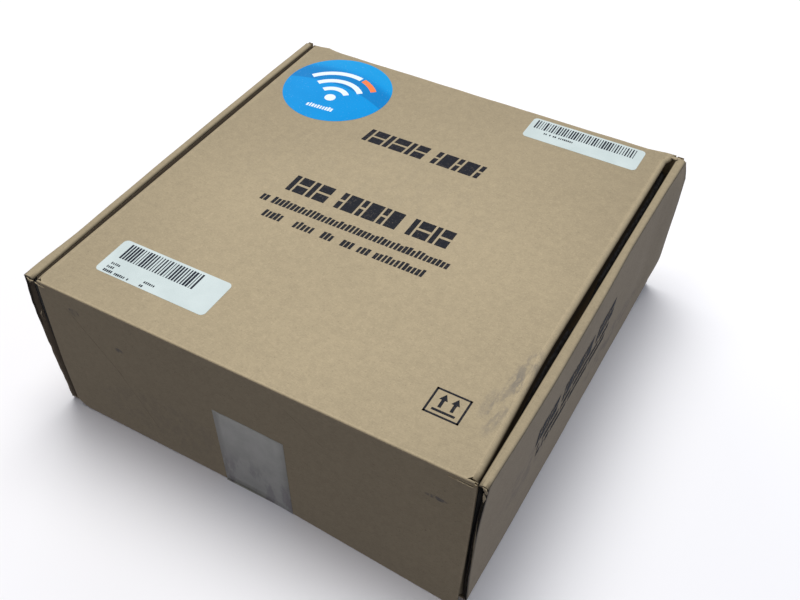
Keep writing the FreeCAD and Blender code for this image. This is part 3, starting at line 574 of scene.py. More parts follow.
def near_edges(length, step):
    """Cut lines: close together by the edges, evenly spaced between."""
    inside = length - 2 * EDGE_ZONE
    count = max(1, round(inside / step))
    middle = [EDGE_ZONE + inside * index / count for index in range(count + 1)]
    if length < SHORT_SIDE:
        middle = [length / 2]
    return sorted([*EDGE_LINES, *middle, *(length - line for line in EDGE_LINES)])


def mark_wear(mesh, outline):
    """Stores how close each point is to the outline of the flat panel: 1 on it, 0 beyond the wear's reach."""
    values = []
    for point in mesh.vertices:
        best = 1.0
        here = point.co.to_2d()
        for index, start in enumerate(outline):
            first = Vector(start)
            step = Vector(outline[(index + 1) % len(outline)]) - first
            share = max(0.0, min(1.0, (here - first).dot(step) / step.length_squared))
            best = min(best, (first + step * share - here).length)
        values.append(max(0.0, 1.0 - best / WEAR_REACH))
    layer = mesh.attributes.new("wear", "FLOAT", "POINT")
    layer.data.foreach_set("value", values)


print("cut lines along 100 mm:", len(near_edges(0.1, 9 * MM)))


# %% The panel builder
ROW_SPACING = 8 * MM


def rectangle(left, low, right, high):
    return [(left, low), (right, low), (right, high), (left, high)]


def even_core(start, end, low, high):
    """A straight core: where its waves start and end, then its low and its high side."""
    return (start, end, low, low, high, high)


def core_mesh(core, flutes):
    """One fluted sheet in the middle of the board, with its waves following each other along u or v."""
    start, end, low_start, low_end, high_start, high_end = core
    rows = 2 + int((high_end - low_end) / ROW_SPACING)
    mesh = flute_mesh(end - start, low_start, low_end, high_start, high_end, rows)
    if flutes == "v":
        mesh.transform(Matrix(((0, 1, 0, 0), (1, 0, 0, start), (0, 0, 1, BOARD / 2), (0, 0, 0, 1))))
        mesh.flip_normals()
    else:
        mesh.transform(Matrix.Translation((start, 0, BOARD / 2)))
    mesh.materials.clear()
    return mesh


def board_panel(name, node, facing, flutes, face_paper, outline, core, bend, step=9 * MM):
    """Two liners and a fluted sheet, stood in the place of a node and bent."""
    place, width, height = panel_frame(node, facing)
    us = near_edges(width, step)
    vs = near_edges(height, step)
    work = bmesh.new()
    flat_solid(work, outline, 0.0, LINER, us, vs)
    flat_solid(work, outline, BOARD - LINER, BOARD, us, vs)
    bmesh.ops.recalc_face_normals(work, faces=work.faces)
    mesh = bpy.data.meshes.new(name)
    work.to_mesh(mesh)
    work.free()
    mark_wear(mesh, outline)
    mesh.materials.append(face_paper)
    mesh.materials.append(paper_core)
    inside = core_mesh(core, flutes)
    join = bmesh.new()
    join.from_mesh(mesh)
    before = len(join.faces)
    join.from_mesh(inside)
    join.faces.ensure_lookup_table()
    for face in join.faces[before:]:
        face.material_index = 1
    bpy.data.meshes.remove(inside)
    join.to_mesh(mesh)
    join.free()
    mesh.transform(place)
    for point in mesh.vertices:
        point.co = bend(point.co)
    for face in mesh.polygons:
        face.use_smooth = True
    mesh.set_sharp_from_angle(angle=math.radians(35))
    return new_object(name, mesh)


print("board", round(BOARD / MM, 2), "mm thick, with liners of", round(LINER / MM, 2), "mm")


# %% [markdown]
# ## Gaps and folds
#
# Paper deep in a gap looks nearly black. Light alone would not do that at this scale, so a rule for each
# piece stores how deep a point lies, and the paper paints shade from it. A fold is a quarter pipe between
# two panels: it is the one place where board is bent, and a bevel on the panels would also round their cut
# edges.

# %% Shade in the gaps, and rounded folds
FOLD_STEP = 6 * MM
FOLD_TURNS = 7
FOLD_WEAR = 0.45
THINNEST_FOLD = 0.15 * MM


def shade(piece, rule):
    """Stores how far each point is darkened, from 0 to 1: mostly painted shade."""
    mesh = piece.data
    layer = mesh.attributes.new("shade", "FLOAT", "POINT")
    layer.data.foreach_set("value", [max(0.0, min(1.0, rule(point.co))) for point in mesh.vertices])
    return piece


def fold_strip(name, start, end, out_a, out_b, radius, paper, bend=None):
    """The rounded board along a fold: a quarter pipe from one panel's outer face round to the other's."""
    work = bmesh.new()
    wear = work.verts.layers.float.new("wear")
    run = end - start
    count = max(2, round(run.length / FOLD_STEP))
    centre_shift = -(out_a + out_b) * radius
    rings = []
    for index in range(count + 1):
        middle = start + run * index / count + centre_shift
        ring = []
        for layer in (radius, max(THINNEST_FOLD, radius - BOARD)):
            for turn in range(FOLD_TURNS + 1):
                angle = math.pi / 2 * turn / FOLD_TURNS
                arm = out_a * math.cos(angle) + out_b * math.sin(angle)
                point = work.verts.new(middle + arm * layer)
                point[wear] = FOLD_WEAR
                ring.append(point)
        outer, inner = ring[: FOLD_TURNS + 1], ring[FOLD_TURNS + 1 :]
        rings.append(outer + inner[::-1])
    join_rings(work, rings)
    if bend:
        for point in work.verts:
            point.co = bend(point.co)
    return finish_mesh(name, work, paper, smooth=True)


print("folds have", FOLD_TURNS, "faces round the turn")

# %% [markdown]
# ## How the carton has settled
#
# A new drawing of a carton is straight, a real one isn't. The right wall leans in at its foot, where the
# fold of the base pulls it, and its far end stands out. The left wall is hollow in its middle and flares
# out at the front. The lid's front flap stands in at its left foot and out at its right foot, and the raw
# front edges have frayed. Each panel could be sculpted by hand, but then the layers would cut through each
# other. So one small function moves every point of the carton's walls, and layers that lie on each other
# stay together.

# %% Where the carton ends, and soft steps
HALF_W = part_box("right_outer_wall")[1].x
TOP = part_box("lid_panel")[1].z
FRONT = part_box("lid_panel")[0].y
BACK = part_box("lid_panel")[1].y
LID_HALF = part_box("lid_panel")[1].x


def clamp(value):
    return max(0.0, min(1.0, value))


def ease(value, low, high):
    """0 up to low, 1 from high on, and a soft step between them."""
    share = clamp((value - low) / (high - low))
    return share * share * (3 - 2 * share)


def bump(value, middle, reach):
    """1 at the middle, falling to 0 at the reach on both sides."""
    return max(0.0, 1 - ((value - middle) / reach) ** 2)


def depth_of(point):
    """0 at the height of the lid, 1 on the ground."""
    return 1 - clamp(point.z / TOP)


print("the carton is", round(2 * HALF_W / MM, 1), "mm wide and", round(TOP / MM, 1), "mm high")


# %% The settling of the carton
WALL_ZONE = (0.124, 0.1385)
SKIN_ZONE = (0.1405, 0.1424)
FLAP_EDGE = 0.139
FLAP_FOOT_IN = 2.8 * MM
FLAP_FOOT_TURN = 7.3 * MM
RIGHT_LEAN = 5.4 * MM
RIGHT_DENT = 2.0 * MM
RIGHT_PUFF = 1.3 * MM
EAR_OUT = 3.6 * MM
EAR_IN = 2.8 * MM
LEFT_LEAN = 0.2 * MM
LEFT_HOLLOW = 1.6 * MM
LEFT_FLARE = 2.0 * MM
LEFT_FLARE_LOW = 2.2 * MM
RIPPLE = 0.3 * MM
FRAY = 0.55 * MM


def front_lean(point):
    """How far the foot of the front stands in. It is negative on the right, where the foot stands out."""
    turn = FLAP_FOOT_TURN * max(0.0, point.x) / FLAP_EDGE
    return (FLAP_FOOT_IN - turn) * depth_of(point)**1.1


def settle_right(point):
    """How far the whole right wall leans in, and how far its outer layer stands out."""
    front = ease(-point.y, 0.085, 0.143)
    lean = RIGHT_LEAN * depth_of(point)**1.15 + RIGHT_DENT * front * bump(point.z, 0.052, 0.060)
    puff = RIGHT_PUFF * bump(point.y, -0.045, 0.09) * ease(point.z, 0.05, 0.11)
    ear = EAR_OUT * ease(point.z, 0.0, 0.030) - EAR_IN * ease(point.z, 0.098, 0.113)
    return lean, puff + ear * ease(point.y, 0.100, 0.140)


def settle_left(point):
    """The same two lengths for the left wall."""
    hollow = bump(point.y, 0.010, 0.15) * ease(point.z, 0.06, 0.112)
    lean = LEFT_LEAN * depth_of(point) - LEFT_HOLLOW * hollow
    flare = LEFT_FLARE * bump(point.z, 0.082, 0.070) + LEFT_FLARE_LOW * ease(TOP - point.z, 0.0, 0.030)
    return lean, flare * ease(-point.y, 0.095, 0.140)


def settle(point):
    side = 1.0 if point.x > 0 else -1.0
    lean, puff = settle_right(point) if point.x > 0 else settle_left(point)
    puff += RIPPLE * noise.noise(Vector((side * 3, point.y * 26, point.z * 30)))
    wall = ease(abs(point.x), *WALL_ZONE)
    skin = ease(abs(point.x), *SKIN_ZONE)
    moved = point.copy()
    moved.x += side * (skin * puff - wall * lean)
    moved.y += max(0.0, front_lean(point)) * ease(-point.y, 0.118, 0.1402)
    if skin > 0.5 and point.y < -0.1425 and point.z < TOP - 1.5 * MM:
        moved.y += FRAY * (0.4 + noise.noise(Vector((side * 9, 0.0, point.z * 150))))
    return moved


def hang(point):
    """The lid's front flap hangs from its fold: in at its left foot, out at its right foot."""
    moved = point.copy()
    moved.y += front_lean(point)
    return moved


foot = Vector((HALF_W, 0.0, 0.0))
print("the right wall's foot stands in by", round((foot.x - settle(foot).x) / MM, 1), "mm")

# %% [markdown]
# ## The tray of the carton
#
# The tray is one die-cut sheet: base, front wall, back wall and the double side walls that roll over and
# lock into slots in the base. It could be one mesh with creases, but a carton is easier to understand, and
# to open, when every panel is its own piece of board. A rounded strip closes each fold between two panels.

# %% Base and front wall
FOLD_R = 1.8 * MM
CORNER_R = 3.4 * MM
HAIR = 0.2 * MM
BASE_CORE_MARGIN = 2.6 * MM

_, base_w, base_d = panel_frame("base_panel", "-z")
strip = HALF_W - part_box("right_inner_wall")[1].x - 0.4 * MM
core_edge = strip + BASE_CORE_MARGIN
base = board_panel(
    "base_board", "base_panel", "-z", "v", paper_lid,
    rectangle(FOLD_R, FOLD_R, base_w - FOLD_R, base_d - FOLD_R),
    even_core(FOLD_R + 0.3 * MM, base_d - FOLD_R, core_edge, base_w - core_edge), settle,
)
hand_over(base, "carton", "kraft_board", "base_panel")


def recess(point):
    """Painted shade in the groove between the lid's front flap and the raw edge of a side wall, which light
    hardly reaches.
    """
    return ease(abs(point.x), 0.1330, 0.1360) * ease(-point.y, 0.128, 0.134)


_, front_w, front_h = panel_frame("front_wall", "-y")
front_board = board_panel(
    "front_wall_board", "front_wall", "-y", "v", paper_side_painted_cool,
    rectangle(CORNER_R, 0, front_w - CORNER_R, front_h),
    even_core(HAIR, front_h - HAIR, CORNER_R, front_w - CORNER_R), settle,
)
hand_over(shade(front_board, recess), "carton", "kraft_board", "front_wall")

# %% Back wall with its two ears
EAR_STEP = 2.2 * MM

_, wall_w, wall_h = panel_frame("back_wall", "+y")
ear = wall_w / 2 - LID_HALF - 0.8 * MM
ledge = wall_h - EAR_STEP
back_outline = [
    (0, FOLD_R), (wall_w, FOLD_R), (wall_w, wall_h), (wall_w - ear, wall_h), (wall_w - ear, ledge),
    (ear, ledge), (ear, wall_h), (0, wall_h),
]
back_board = board_panel(
    "back_wall_board", "back_wall", "+y", "v", paper_front, back_outline,
    even_core(FOLD_R, ledge - HAIR, 0.3 * MM, wall_w - 0.3 * MM), settle,
)
hand_over(back_board, "carton", "kraft_board", "back_wall")

# %% [markdown]
# ## Side walls
#
# A side wall is double: the sheet goes up outside, rolls over the top and comes down inside, where two tabs
# lock into the base. Between the two layers lie the corner flaps of the front and the back wall. Two plain
# boxes would look the same from above, but the cut ends at the corners show all the layers, so each one is
# made.

# %% Outer and inner side walls
SIDES = {"left": -1, "right": 1}
TAB_Y = 0.070
TAB_ROOT = 15 * MM
TAB_TIP = 13.5 * MM
EDGE_HAIR = 0.25 * MM


def facing_of(sign):
    return ("+x", "-x") if sign > 0 else ("-x", "+x")


def raw_edge_painted_shade_and_patches(point):
    """The cut ends of the side walls: painted shade makes them nearly black in front, and they are darker in
    patches at the back.
    """
    dirt = noise.noise(Vector((point.z * 60, 5.0, 0.0)))
    # Painted shade on the front ends.
    front = 0.95 * ease(-point.y, 0.1412, 0.1424)
    return front + (0.35 + 0.5 * dirt) * ease(point.y, 0.1385, 0.1425)


def inner_outline(node, sign, width, height, root):
    """The inner layer with its two lock tabs."""
    low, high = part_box(node)
    outline = [(0, root)]
    for middle in sorted(y - low.y if sign < 0 else high.y - y for y in (-TAB_Y, TAB_Y)):
        outline += [(middle - TAB_ROOT, root), (middle - TAB_TIP, 0)]
        outline += [(middle + TAB_TIP, 0), (middle + TAB_ROOT, root)]
    return outline + [(width, root), (width, height - 2 * HAIR), (0, height - 2 * HAIR)]


for name, sign in SIDES.items():
    outward, inward = facing_of(sign)
    node = name + "_outer_wall"
    _, width, height = panel_frame(node, outward)
    outline = rectangle(0, HAIR, width, height - HAIR)
    core = even_core(EDGE_HAIR, width - EDGE_HAIR, HAIR + EDGE_HAIR, height - HAIR - EDGE_HAIR)
    outer_board = board_panel(
        name + "_outer_board", node, outward, "u", paper_side_painted_cool, outline, core, settle, step=5 * MM
    )
    hand_over(shade(outer_board, raw_edge_painted_shade_and_patches), "carton", "kraft_board", node)
    node = name + "_inner_wall"
    _, width, height = panel_frame(node, inward)
    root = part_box("base_panel")[1].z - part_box(node)[0].z
    inner_board = board_panel(
        name + "_inner_board", node, inward, "u", paper_side_painted_cool, inner_outline(node, sign, width, height, root),
        even_core(0.3 * MM, width - 0.3 * MM, root, height - 3 * HAIR), settle,
    )
    hand_over(inner_board, "carton", "kraft_board", node)

# %% [markdown]
# ## Corner flaps
#
# The front and the back wall end in flaps that turn the corner and lie between the two layers of a side
# wall. They taper away from their fold so that the wall can roll over them. Only their cut ends show, but
# they carry the corner, so they are whole pieces of board like the rest.

# %% Corner flaps between the layers
FLAP_TAPER = 8 * MM


def corner_flap(node, sign, at_front):
    """A flap that tapers away from its root. The front ones start behind the rounded corner."""
    outward, _ = facing_of(sign)
    _, width, height = panel_frame(node, outward)
    cut = CORNER_R - BOARD if at_front else 0.0
    low, high = HAIR, height - HAIR
    narrow_low, narrow_high = FLAP_TAPER, height - FLAP_TAPER
    if at_front == (sign > 0):
        outline = [(cut, 0), (width, narrow_low), (width, narrow_high), (cut, height)]
        core = (cut + 0.3 * MM, width - 0.3 * MM, low, narrow_low, high, narrow_high)
    else:
        outline = [(0, narrow_low), (width - cut, 0), (width - cut, height), (0, narrow_high)]
        core = (0.3 * MM, width - cut - 0.3 * MM, narrow_low, low, narrow_high, high)
    flap_board = board_panel(node + "_board", node, outward, "u", paper_side_painted_cool, outline, core, settle)
    hand_over(shade(flap_board, recess), "carton", "kraft_board", node)


for name, sign in SIDES.items():
    corner_flap("corner_flap_front_" + name, sign, True)
    corner = Vector((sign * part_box("front_wall")[1].x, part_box("front_wall")[0].y, 0))
    fold = fold_strip("front_%s_corner_fold" % name, corner + Z * 4 * MM, corner + Z * 109 * MM, -Y, X * sign,
                      CORNER_R, paper_front, settle)
    hand_over(shade(fold, recess), "carton", "kraft_board")
    corner_flap("corner_flap_back_" + name, sign, False)

# %% [markdown]
# ## Rounded folds of the tray
#
# Board doesn't fold to a sharp line: its outer liner runs round in a small curve. A bevel on the panels
# would also round their cut edges, so each fold is a quarter pipe of its own. The narrow strip on top of a
# side wall, where the sheet rolls over, is two such folds with a level piece between them. The whole strip
# is darkened a little, and painted shade darkens the folds more where they turn down from the top.

# %% Rolled tops and lower folds of the side walls
SIDE_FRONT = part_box("right_outer_wall")[0].y
SIDE_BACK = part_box("right_roll_edge")[1].y
BASE_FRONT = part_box("base_panel")[0].y
ROLL_CUTS = 46


def roll_painted_shade(point):
    # A little darkening over the whole strip, and painted shade on the folds where they turn down from the top.
    return 0.16 + 0.40 * ease(TOP - point.z, 0.15 * MM, 1.3 * MM)


def roll_top(name, edge_x, inner_x, sign):
    """The level piece between the two folds."""
    work = bmesh.new()
    left, right = sorted((edge_x - sign * FOLD_R, inner_x + sign * FOLD_R))
    cuts = [SIDE_FRONT + FOLD_STEP * (index + 1) for index in range(ROLL_CUTS)]
    flat_solid(work, rectangle(left, SIDE_FRONT, right, SIDE_BACK), TOP - BOARD, TOP, (), cuts)
    top = finish_mesh(name, work, paper_lid)
    bend_points(top, settle)
    return top


for name, sign in SIDES.items():
    out = X * sign
    edge_x = sign * HALF_W
    inner_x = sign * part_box("right_roll_edge")[0].x
    rolls = []
    for part, x, side in (("outer", edge_x, out), ("inner", inner_x, -out)):
        rolls.append(fold_strip("%s_roll_%s_fold" % (name, part), Vector((x, SIDE_FRONT, TOP)),
                                Vector((x, SIDE_BACK, TOP)), Z, side, FOLD_R, paper_lid, settle))
    top = roll_top(name + "_roll_top", edge_x, inner_x, sign)
    for piece in (*rolls, top):
        hand_over(shade(piece, roll_painted_shade), "carton", "kraft_board")
    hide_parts(name + "_roll_edge")
    base_fold = fold_strip(name + "_base_fold", Vector((edge_x, BASE_FRONT + 0.4 * MM, 0)),
                           Vector((edge_x, BACK - FOLD_R, 0)), -Z, out, FOLD_R, paper_side_painted_cool, settle)
    hand_over(base_fold, "carton", "kraft_board")

# %% Lower folds of the front and the back wall
for name, y, side in (("front", BASE_FRONT, -Y), ("back", BACK, Y)):
    left, right = Vector((-HALF_W + FOLD_R, y, 0)), Vector((HALF_W - FOLD_R, y, 0))
    fold = fold_strip(name + "_base_fold", left, right, -Z, side, FOLD_R, paper_front, settle)
    hand_over(fold, "carton", "kraft_board")

# %% [markdown]
# ## The lid
#
# The lid and its front flap are one sheet too, hinged on the back wall. The lid's side edges fold down into
# dust flaps that tuck inside the walls, so from above each side edge is a soft round shoulder with a dark
# gap beside it. The lid of a carton that has been opened doesn't lie square in its tray, so it has a
# bending rule of its own.

# %% The settling of the lid
SHOULDER = 3.0 * MM
CREASE = 0.9 * MM
GAP_OPEN = 4.1 * MM
LEFT_GAP = 0.5 * MM
DUST_FLAP_IN = 1.0 * MM
TIP_BACK = 2.2 * MM
BACK_RIPPLE = 0.4 * MM
BACK_BUMP = 1.6 * MM


def relax(point):
    """The lid's right shoulder stands in from the wall, except at its ends, and the dust flaps follow it."""
    moved = point.copy()
    reach = ease(abs(point.x), 0.100, 0.1385)
    if point.x > 0:
        open_share = ease(point.y, -0.155, -0.040) * (1 - ease(point.y, 0.1365, 0.1415))
        moved.x -= GAP_OPEN * open_share * reach
    else:
        moved.x += LEFT_GAP * reach
    below = clamp((TOP - SHOULDER - point.z) / 0.045) * ease(abs(point.x), 0.130, 0.134)
    if point.y > -0.1405:
        moved.x -= math.copysign(DUST_FLAP_IN, point.x) * below
    if point.y > 0.1395:
        moved.y += TIP_BACK * ease(point.x, 0.118, 0.136)
        moved.y -= BACK_RIPPLE * (1 + noise.noise(Vector((point.x * 55, 1.7, 0))))
        moved.y += BACK_BUMP * bump(point.x, -0.1255, 0.007)
    return moved


# Painted shade on the lid's side folds: a little over all of them, most where they turn down.
def shoulder_shade(point):
    side = ease(abs(point.x), 0.1325, 0.1375)
    return 0.62 * side * ease(TOP - point.z, 0.0, SHOULDER) + 0.20 * side


def lid_painted_shade(point):
    """Painted shade: the lid darkens away from a bright patch near its middle, as the light falls off."""
    return 0.20 * ease(math.hypot(point.x - 0.02, point.y + 0.05), 0.06, 0.22)


def dust_flap_painted_shade(point):
    return 0.9 * ease(TOP - point.z, 0.0, 3 * MM) * ease(point.z, TOP - 0.030, TOP - 0.006)


edge = Vector((LID_HALF, 0.0, TOP))
print("the gap beside the lid opens by", round((edge.x - relax(edge).x) / MM, 1), "mm")


# %% Lid
LID_CORNER = 2.2 * MM

lid_w = 2 * LID_HALF
lid_d = BACK - FRONT
near = CREASE + LID_CORNER
lid_outline = [
    (SHOULDER + LID_CORNER, CREASE), (lid_w - SHOULDER - LID_CORNER, CREASE), (lid_w - SHOULDER, near),
    (lid_w - SHOULDER, lid_d - FOLD_R), (SHOULDER, lid_d - FOLD_R), (SHOULDER, near),
]
lid_core = even_core(near, lid_d - FOLD_R - HAIR, SHOULDER + HAIR, lid_w - SHOULDER - HAIR)
lid = board_panel("lid_board", "lid_panel", "+z", "v", paper_lid, lid_outline, lid_core, relax)
hand_over(shade(lid, lid_painted_shade), "lid", "kraft_board", "lid_panel")

# %% [markdown]
# ## The lid's front flap
#
# The flap hangs outside the front wall, and its foot has been knocked round at both corners. A rectangle
# with bevelled corners would look new, so its outline is given point by point.

# %% Front flap
# All in millimetres: the worn foot is given from the left and from the right edge, the left side from the fold.
FLAP_FOOT_LEFT = ((0.4, 7), (1.6, 4.2), (2.4, 3.8), (5.0, 0.9), (9.0, 0.0))
FLAP_FOOT_RIGHT = ((9, -0.6), (5.6, 0.6), (4.4, 3))
FLAP_SIDE_LEFT = ((3.8, 0), (3.4, 10), (1.4, 45), (0.2, 70))

_, flap_w, flap_h = panel_frame("lid_front_flap", "-y")
flap_top = flap_h - (CREASE - (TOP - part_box("lid_front_flap")[1].z))
flap_outline = [(u * MM, v * MM) for u, v in FLAP_FOOT_LEFT]
flap_outline += [(flap_w - u * MM, v * MM) for u, v in FLAP_FOOT_RIGHT]
flap_outline += [
    (flap_w - 2.6 * MM, flap_top * 0.4), (flap_w - 1.4 * MM, flap_top * 0.75),
    (flap_w - 0.8 * MM, flap_top - 5 * MM), (flap_w - 1.0 * MM, flap_top),
]
flap_outline += [(u * MM, flap_top - v * MM) for u, v in FLAP_SIDE_LEFT]
flap_core = (0.8 * MM, flap_top - HAIR, 5.0 * MM, 4.2 * MM, flap_w - 7.5 * MM, flap_w - 1.8 * MM)
node = "lid_front_flap"
flap = board_panel("front_flap_board", node, "-y", "v", paper_front, flap_outline, flap_core, hang)
hand_over(flap, "front_flap", "kraft_board", node)

# %% [markdown]
# ## Folds at the two joints
#
# Two folds belong to joints: the lid's rear fold and the fold of the front flap. If such a strip rode on
# one body it would tear away from the other. Here each is only built in place, with its place baked into
# its mesh, and is handed to no body.

# %% The two hinged folds
front_fold = fold_strip("front_fold", Vector((-LID_HALF + 2.8 * MM, FRONT, TOP)),
                        Vector((LID_HALF - 1.2 * MM, FRONT, TOP)), Z, -Y, CREASE, paper_front)
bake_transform(front_fold)
rear_fold = fold_strip("rear_fold", Vector((-LID_HALF + 0.4 * MM, BACK, TOP)),
                       Vector((LID_HALF - 0.4 * MM, BACK, TOP)), Z, Y, FOLD_R, paper_front, relax)
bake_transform(rear_fold)
print("hinged folds:", front_fold.name, "and", rear_fold.name)

# %% [markdown]
# ## Dust flaps
#
# The lid's sides fold down into slanted flaps that are tucked inside the walls. Each rides on the lid with
# its fold, and painted shade darkens it where it goes down into the gap, because that is all that is seen
# of it.

# %% Dust flaps and the lid's shoulders
DUST_SLANT = 14 * MM

for name, sign in SIDES.items():
    node = "lid_%s_dust_flap" % name
    outward, _ = facing_of(sign)
    _, dust_w, dust_h = panel_frame(node, outward)
    edge = dust_h - (SHOULDER - BOARD)
    outline = [(DUST_SLANT, 0), (dust_w - DUST_SLANT, 0), (dust_w - 0.4 * MM, edge), (0.4 * MM, edge)]
    core = (0.3 * MM, edge - HAIR, DUST_SLANT, 0.6 * MM, dust_w - DUST_SLANT, dust_w - 0.6 * MM)
    dust = board_panel(node + "_board", node, outward, "v", paper_side_painted_cool, outline, core, relax)
    hand_over(shade(dust, dust_flap_painted_shade), "lid", "kraft_board", node)
    start = Vector((sign * LID_HALF, FRONT + CREASE + 1.4 * MM, TOP))
    end = Vector((sign * LID_HALF, BACK - FOLD_R, TOP))
    side_fold = fold_strip("lid_%s_fold" % name, start, end, Z, X * sign, SHOULDER, paper_lid, relax)
    hand_over(shade(side_fold, shoulder_shade), "lid", "kraft_board")

# %% [markdown]
# ## Torn paper at the corners
#
# Where the lid, its flap and a side wall meet, the liner has split: a slit with a pale torn edge runs along
# the crease, and shreds curl out of the raw edges. Each shred is a narrow ribbon through a few places, thin
# at its ends, with a seeded ragged width. A texture with alpha could draw it, but it would have no curl
# when seen from the side.

# %% The shred builder
SHRED_STEPS = 6
SHRED_THICKNESS = 0.14 * MM


def shred_path(corner, offsets):
    """Points close together through places that are given in millimetres from a corner."""
    line = [(corner + Vector(offset)) * MM for offset in offsets]
    path = []
    for first, second in zip(line, line[1:]):
        path += [first.lerp(second, index / SHRED_STEPS) for index in range(SHRED_STEPS)]
    return path + [line[-1]]


def shred(name, body, corner, offsets, width, lift, seed, paper=None):
    """A closed ragged ribbon, widest in its middle. Its width is in millimetres. It curls towards lift."""
    rng = random.Random(seed)
    path = shred_path(corner, offsets)
    work = bmesh.new()
    rings = []
    lift = Vector(lift).normalized()
    raised = lift * SHRED_THICKNESS
    for index, middle in enumerate(path):
        way = (path[min(index + 1, len(path) - 1)] - path[max(index - 1, 0)]).normalized()
        side = way.cross(lift).normalized()
        share = index / (len(path) - 1)
        half = width * MM / 2 * (0.15 + math.sin(math.pi * share)) * rng.uniform(0.55, 1.25)
        curl = lift * rng.uniform(0.0, 0.35) * MM
        ring = [
            middle - side * half + curl, middle + side * half * rng.uniform(0.5, 1.0),
            middle + side * half * 0.9 + raised, middle - side * half * 0.9 + curl + raised,
        ]
        rings.append([work.verts.new(point) for point in ring])
    join_rings(work, rings)
    return hand_over(finish_mesh(name, work, paper or paper_torn, smooth=True), body, "kraft_board")


RIGHT_CORNER = Vector((HALF_W, FRONT, TOP)) / MM
LEFT_CORNER = Vector((-HALF_W, FRONT, TOP)) / MM
BACK_CORNER = Vector((HALF_W, BACK, TOP)) / MM
print("shreds have", SHRED_STEPS, "steps between two places")

# %% Shreds at the right front corner
shred("slit_right_lip", "front_flap", RIGHT_CORNER,
      [(-21, -0.05, -3.2), (-13, -0.25, -3.4), (-6.5, -0.5, -3.0)], 1.0, (0.1, -1, 0.3), 3)
shred("slit_right_dark", "front_flap", RIGHT_CORNER,
      [(-18, -0.02, -2.3), (-12, -0.05, -2.2), (-6, -0.08, -1.9)], 0.9, (0, -1, 0.5), 4, paper_core)
shred("curl_right_top", "carton", RIGHT_CORNER, [(-3.0, 0.5, -0.6), (-1.2, -0.1, -1.6), (-0.6, 0.1, -4.6)],
      1.7, (0.6, -1, 0.2), 5)
shred("curl_right_mid", "carton", RIGHT_CORNER, [(-2.2, 0.4, -5.0), (-1.4, -0.2, -8.0), (-1.9, 0.3, -12.0)],
      1.3, (0.7, -1, 0), 6)
shred("raw_right_low", "carton", RIGHT_CORNER, [(-3.9, 0.6, -30), (-4.3, 0.3, -52), (-4.8, 0.6, -78)],
      0.7, (0.6, -1, 0), 7, paper_core)

# %% Shreds at the left front corner and the right back corner
shred("slit_left_lip", "front_flap", LEFT_CORNER, [(6.8, -0.05, -1.6), (10, -0.3, -2.6), (15, -0.1, -3.0)],
      1.1, (0, -1, 0.6), 8)
shred("crumple_left_a", "carton", LEFT_CORNER, [(0.8, 0.5, -1.4), (3.2, -0.1, -2.6), (5.6, 0.4, -2.0)],
      1.6, (-0.2, -1, 0.5), 9)
shred("crumple_left_b", "carton", LEFT_CORNER, [(3.6, 0.8, -26), (2.2, 0.2, -30), (3.4, 0.9, -35)],
      1.1, (-0.4, -1, 0), 10)
shred("crumple_left_c", "carton", LEFT_CORNER, [(2.6, 0.9, -36), (3.8, 0.2, -40), (3.0, 0.9, -44)],
      1.0, (-0.4, -1, 0), 11, paper_core)
shred("back_right_tip", "lid", BACK_CORNER, [(-8.5, -3.2, -0.3), (-5.0, -2.6, -0.2), (-2.6, -1.8, -0.5)],
      3.4, (0, 0, 1), 14, paper_lid)

# %% [markdown]
# ## Ink on the carton
#
# The carton is printed with flexographic ink: bold headings and lines of small print. No words are copied:
# a heading becomes a line of heavy bars, some with a slit, and small print becomes rows of little blocks,
# as in a layout before its words are chosen. Rows like these repeat, so Geometry Nodes lays them out:
# points along a line, a block on each with a seeded width and height, some left out for the spaces. The
# same tree makes the bar codes of the two labels.

# %% The tree that makes rows of blocks
def make_row_group():
    sizes = ("Length", "Step", "Height", "Narrow", "Wide", "Short", "Slant", "Gaps", "Thickness")
    group, tree, given = group_with("row of blocks", *sizes, "Row count", "Seed")
    count = (given["Length"] / given["Step"]).math("FLOOR")
    sockets = {
        "Count": count,
        "Start Location": tree.vector(given["Step"] * 0.5, 0.0, 0.0),
        "Offset": tree.vector(given["Step"], 0.0, 0.0),
    }
    line = tree.add("GeometryNodeMeshLine", {"mode": "OFFSET", "count_mode": "TOTAL"}, sockets)

    def scatter(low, high, shift):
        numbered = {2: low, 3: high, 8: given["Seed"] + shift}
        return tree.add("FunctionNodeRandomValue", {"data_type": "FLOAT"}, numbered, out=1)

    width = scatter(given["Narrow"], given["Wide"], 0) * given["Step"]
    tall = scatter(given["Short"], 1.0, 11) * given["Height"]
    keep = scatter(0.0, 1.0, 23).math("GREATER_THAN", given["Gaps"])
    sockets = {"Size": (1.0, 1.0, 1.0), "Vertices X": 2, "Vertices Y": given["Row count"], "Vertices Z": 2}
    cube = tree.add("GeometryNodeMeshCube", None, sockets)
    block = tree.add("GeometryNodeTransform", None, {"Geometry": cube, "Translation": (0.0, 0.5, 0.5)})
    sockets = {
        "Points": line, "Selection": keep, "Instance": block,
        "Scale": tree.vector(width, tall, given["Thickness"]),
    }
    placed = tree.add("GeometryNodeInstanceOnPoints", None, sockets)
    real = tree.add("GeometryNodeRealizeInstances", None, {0: placed})
    x, y, z = tree.axes(tree.add("GeometryNodeInputPosition"))
    leaning = tree.vector(x + y * given["Slant"], y, z)
    leant = tree.add("GeometryNodeSetPosition", None, {"Geometry": real, "Position": leaning})
    close_group(group, tree, leant, given["Material"])
    return group


ROWS = make_row_group()
print("inputs of the row tree:", len(ROWS.interface.items_tree) - 1)


# %% [markdown]
# ## Inks
#
# Flexographic ink on kraft is thin and patchy, and the paper shows through in specks. A flat black would
# look like a sticker, so the ink's tone is broken by two noises.

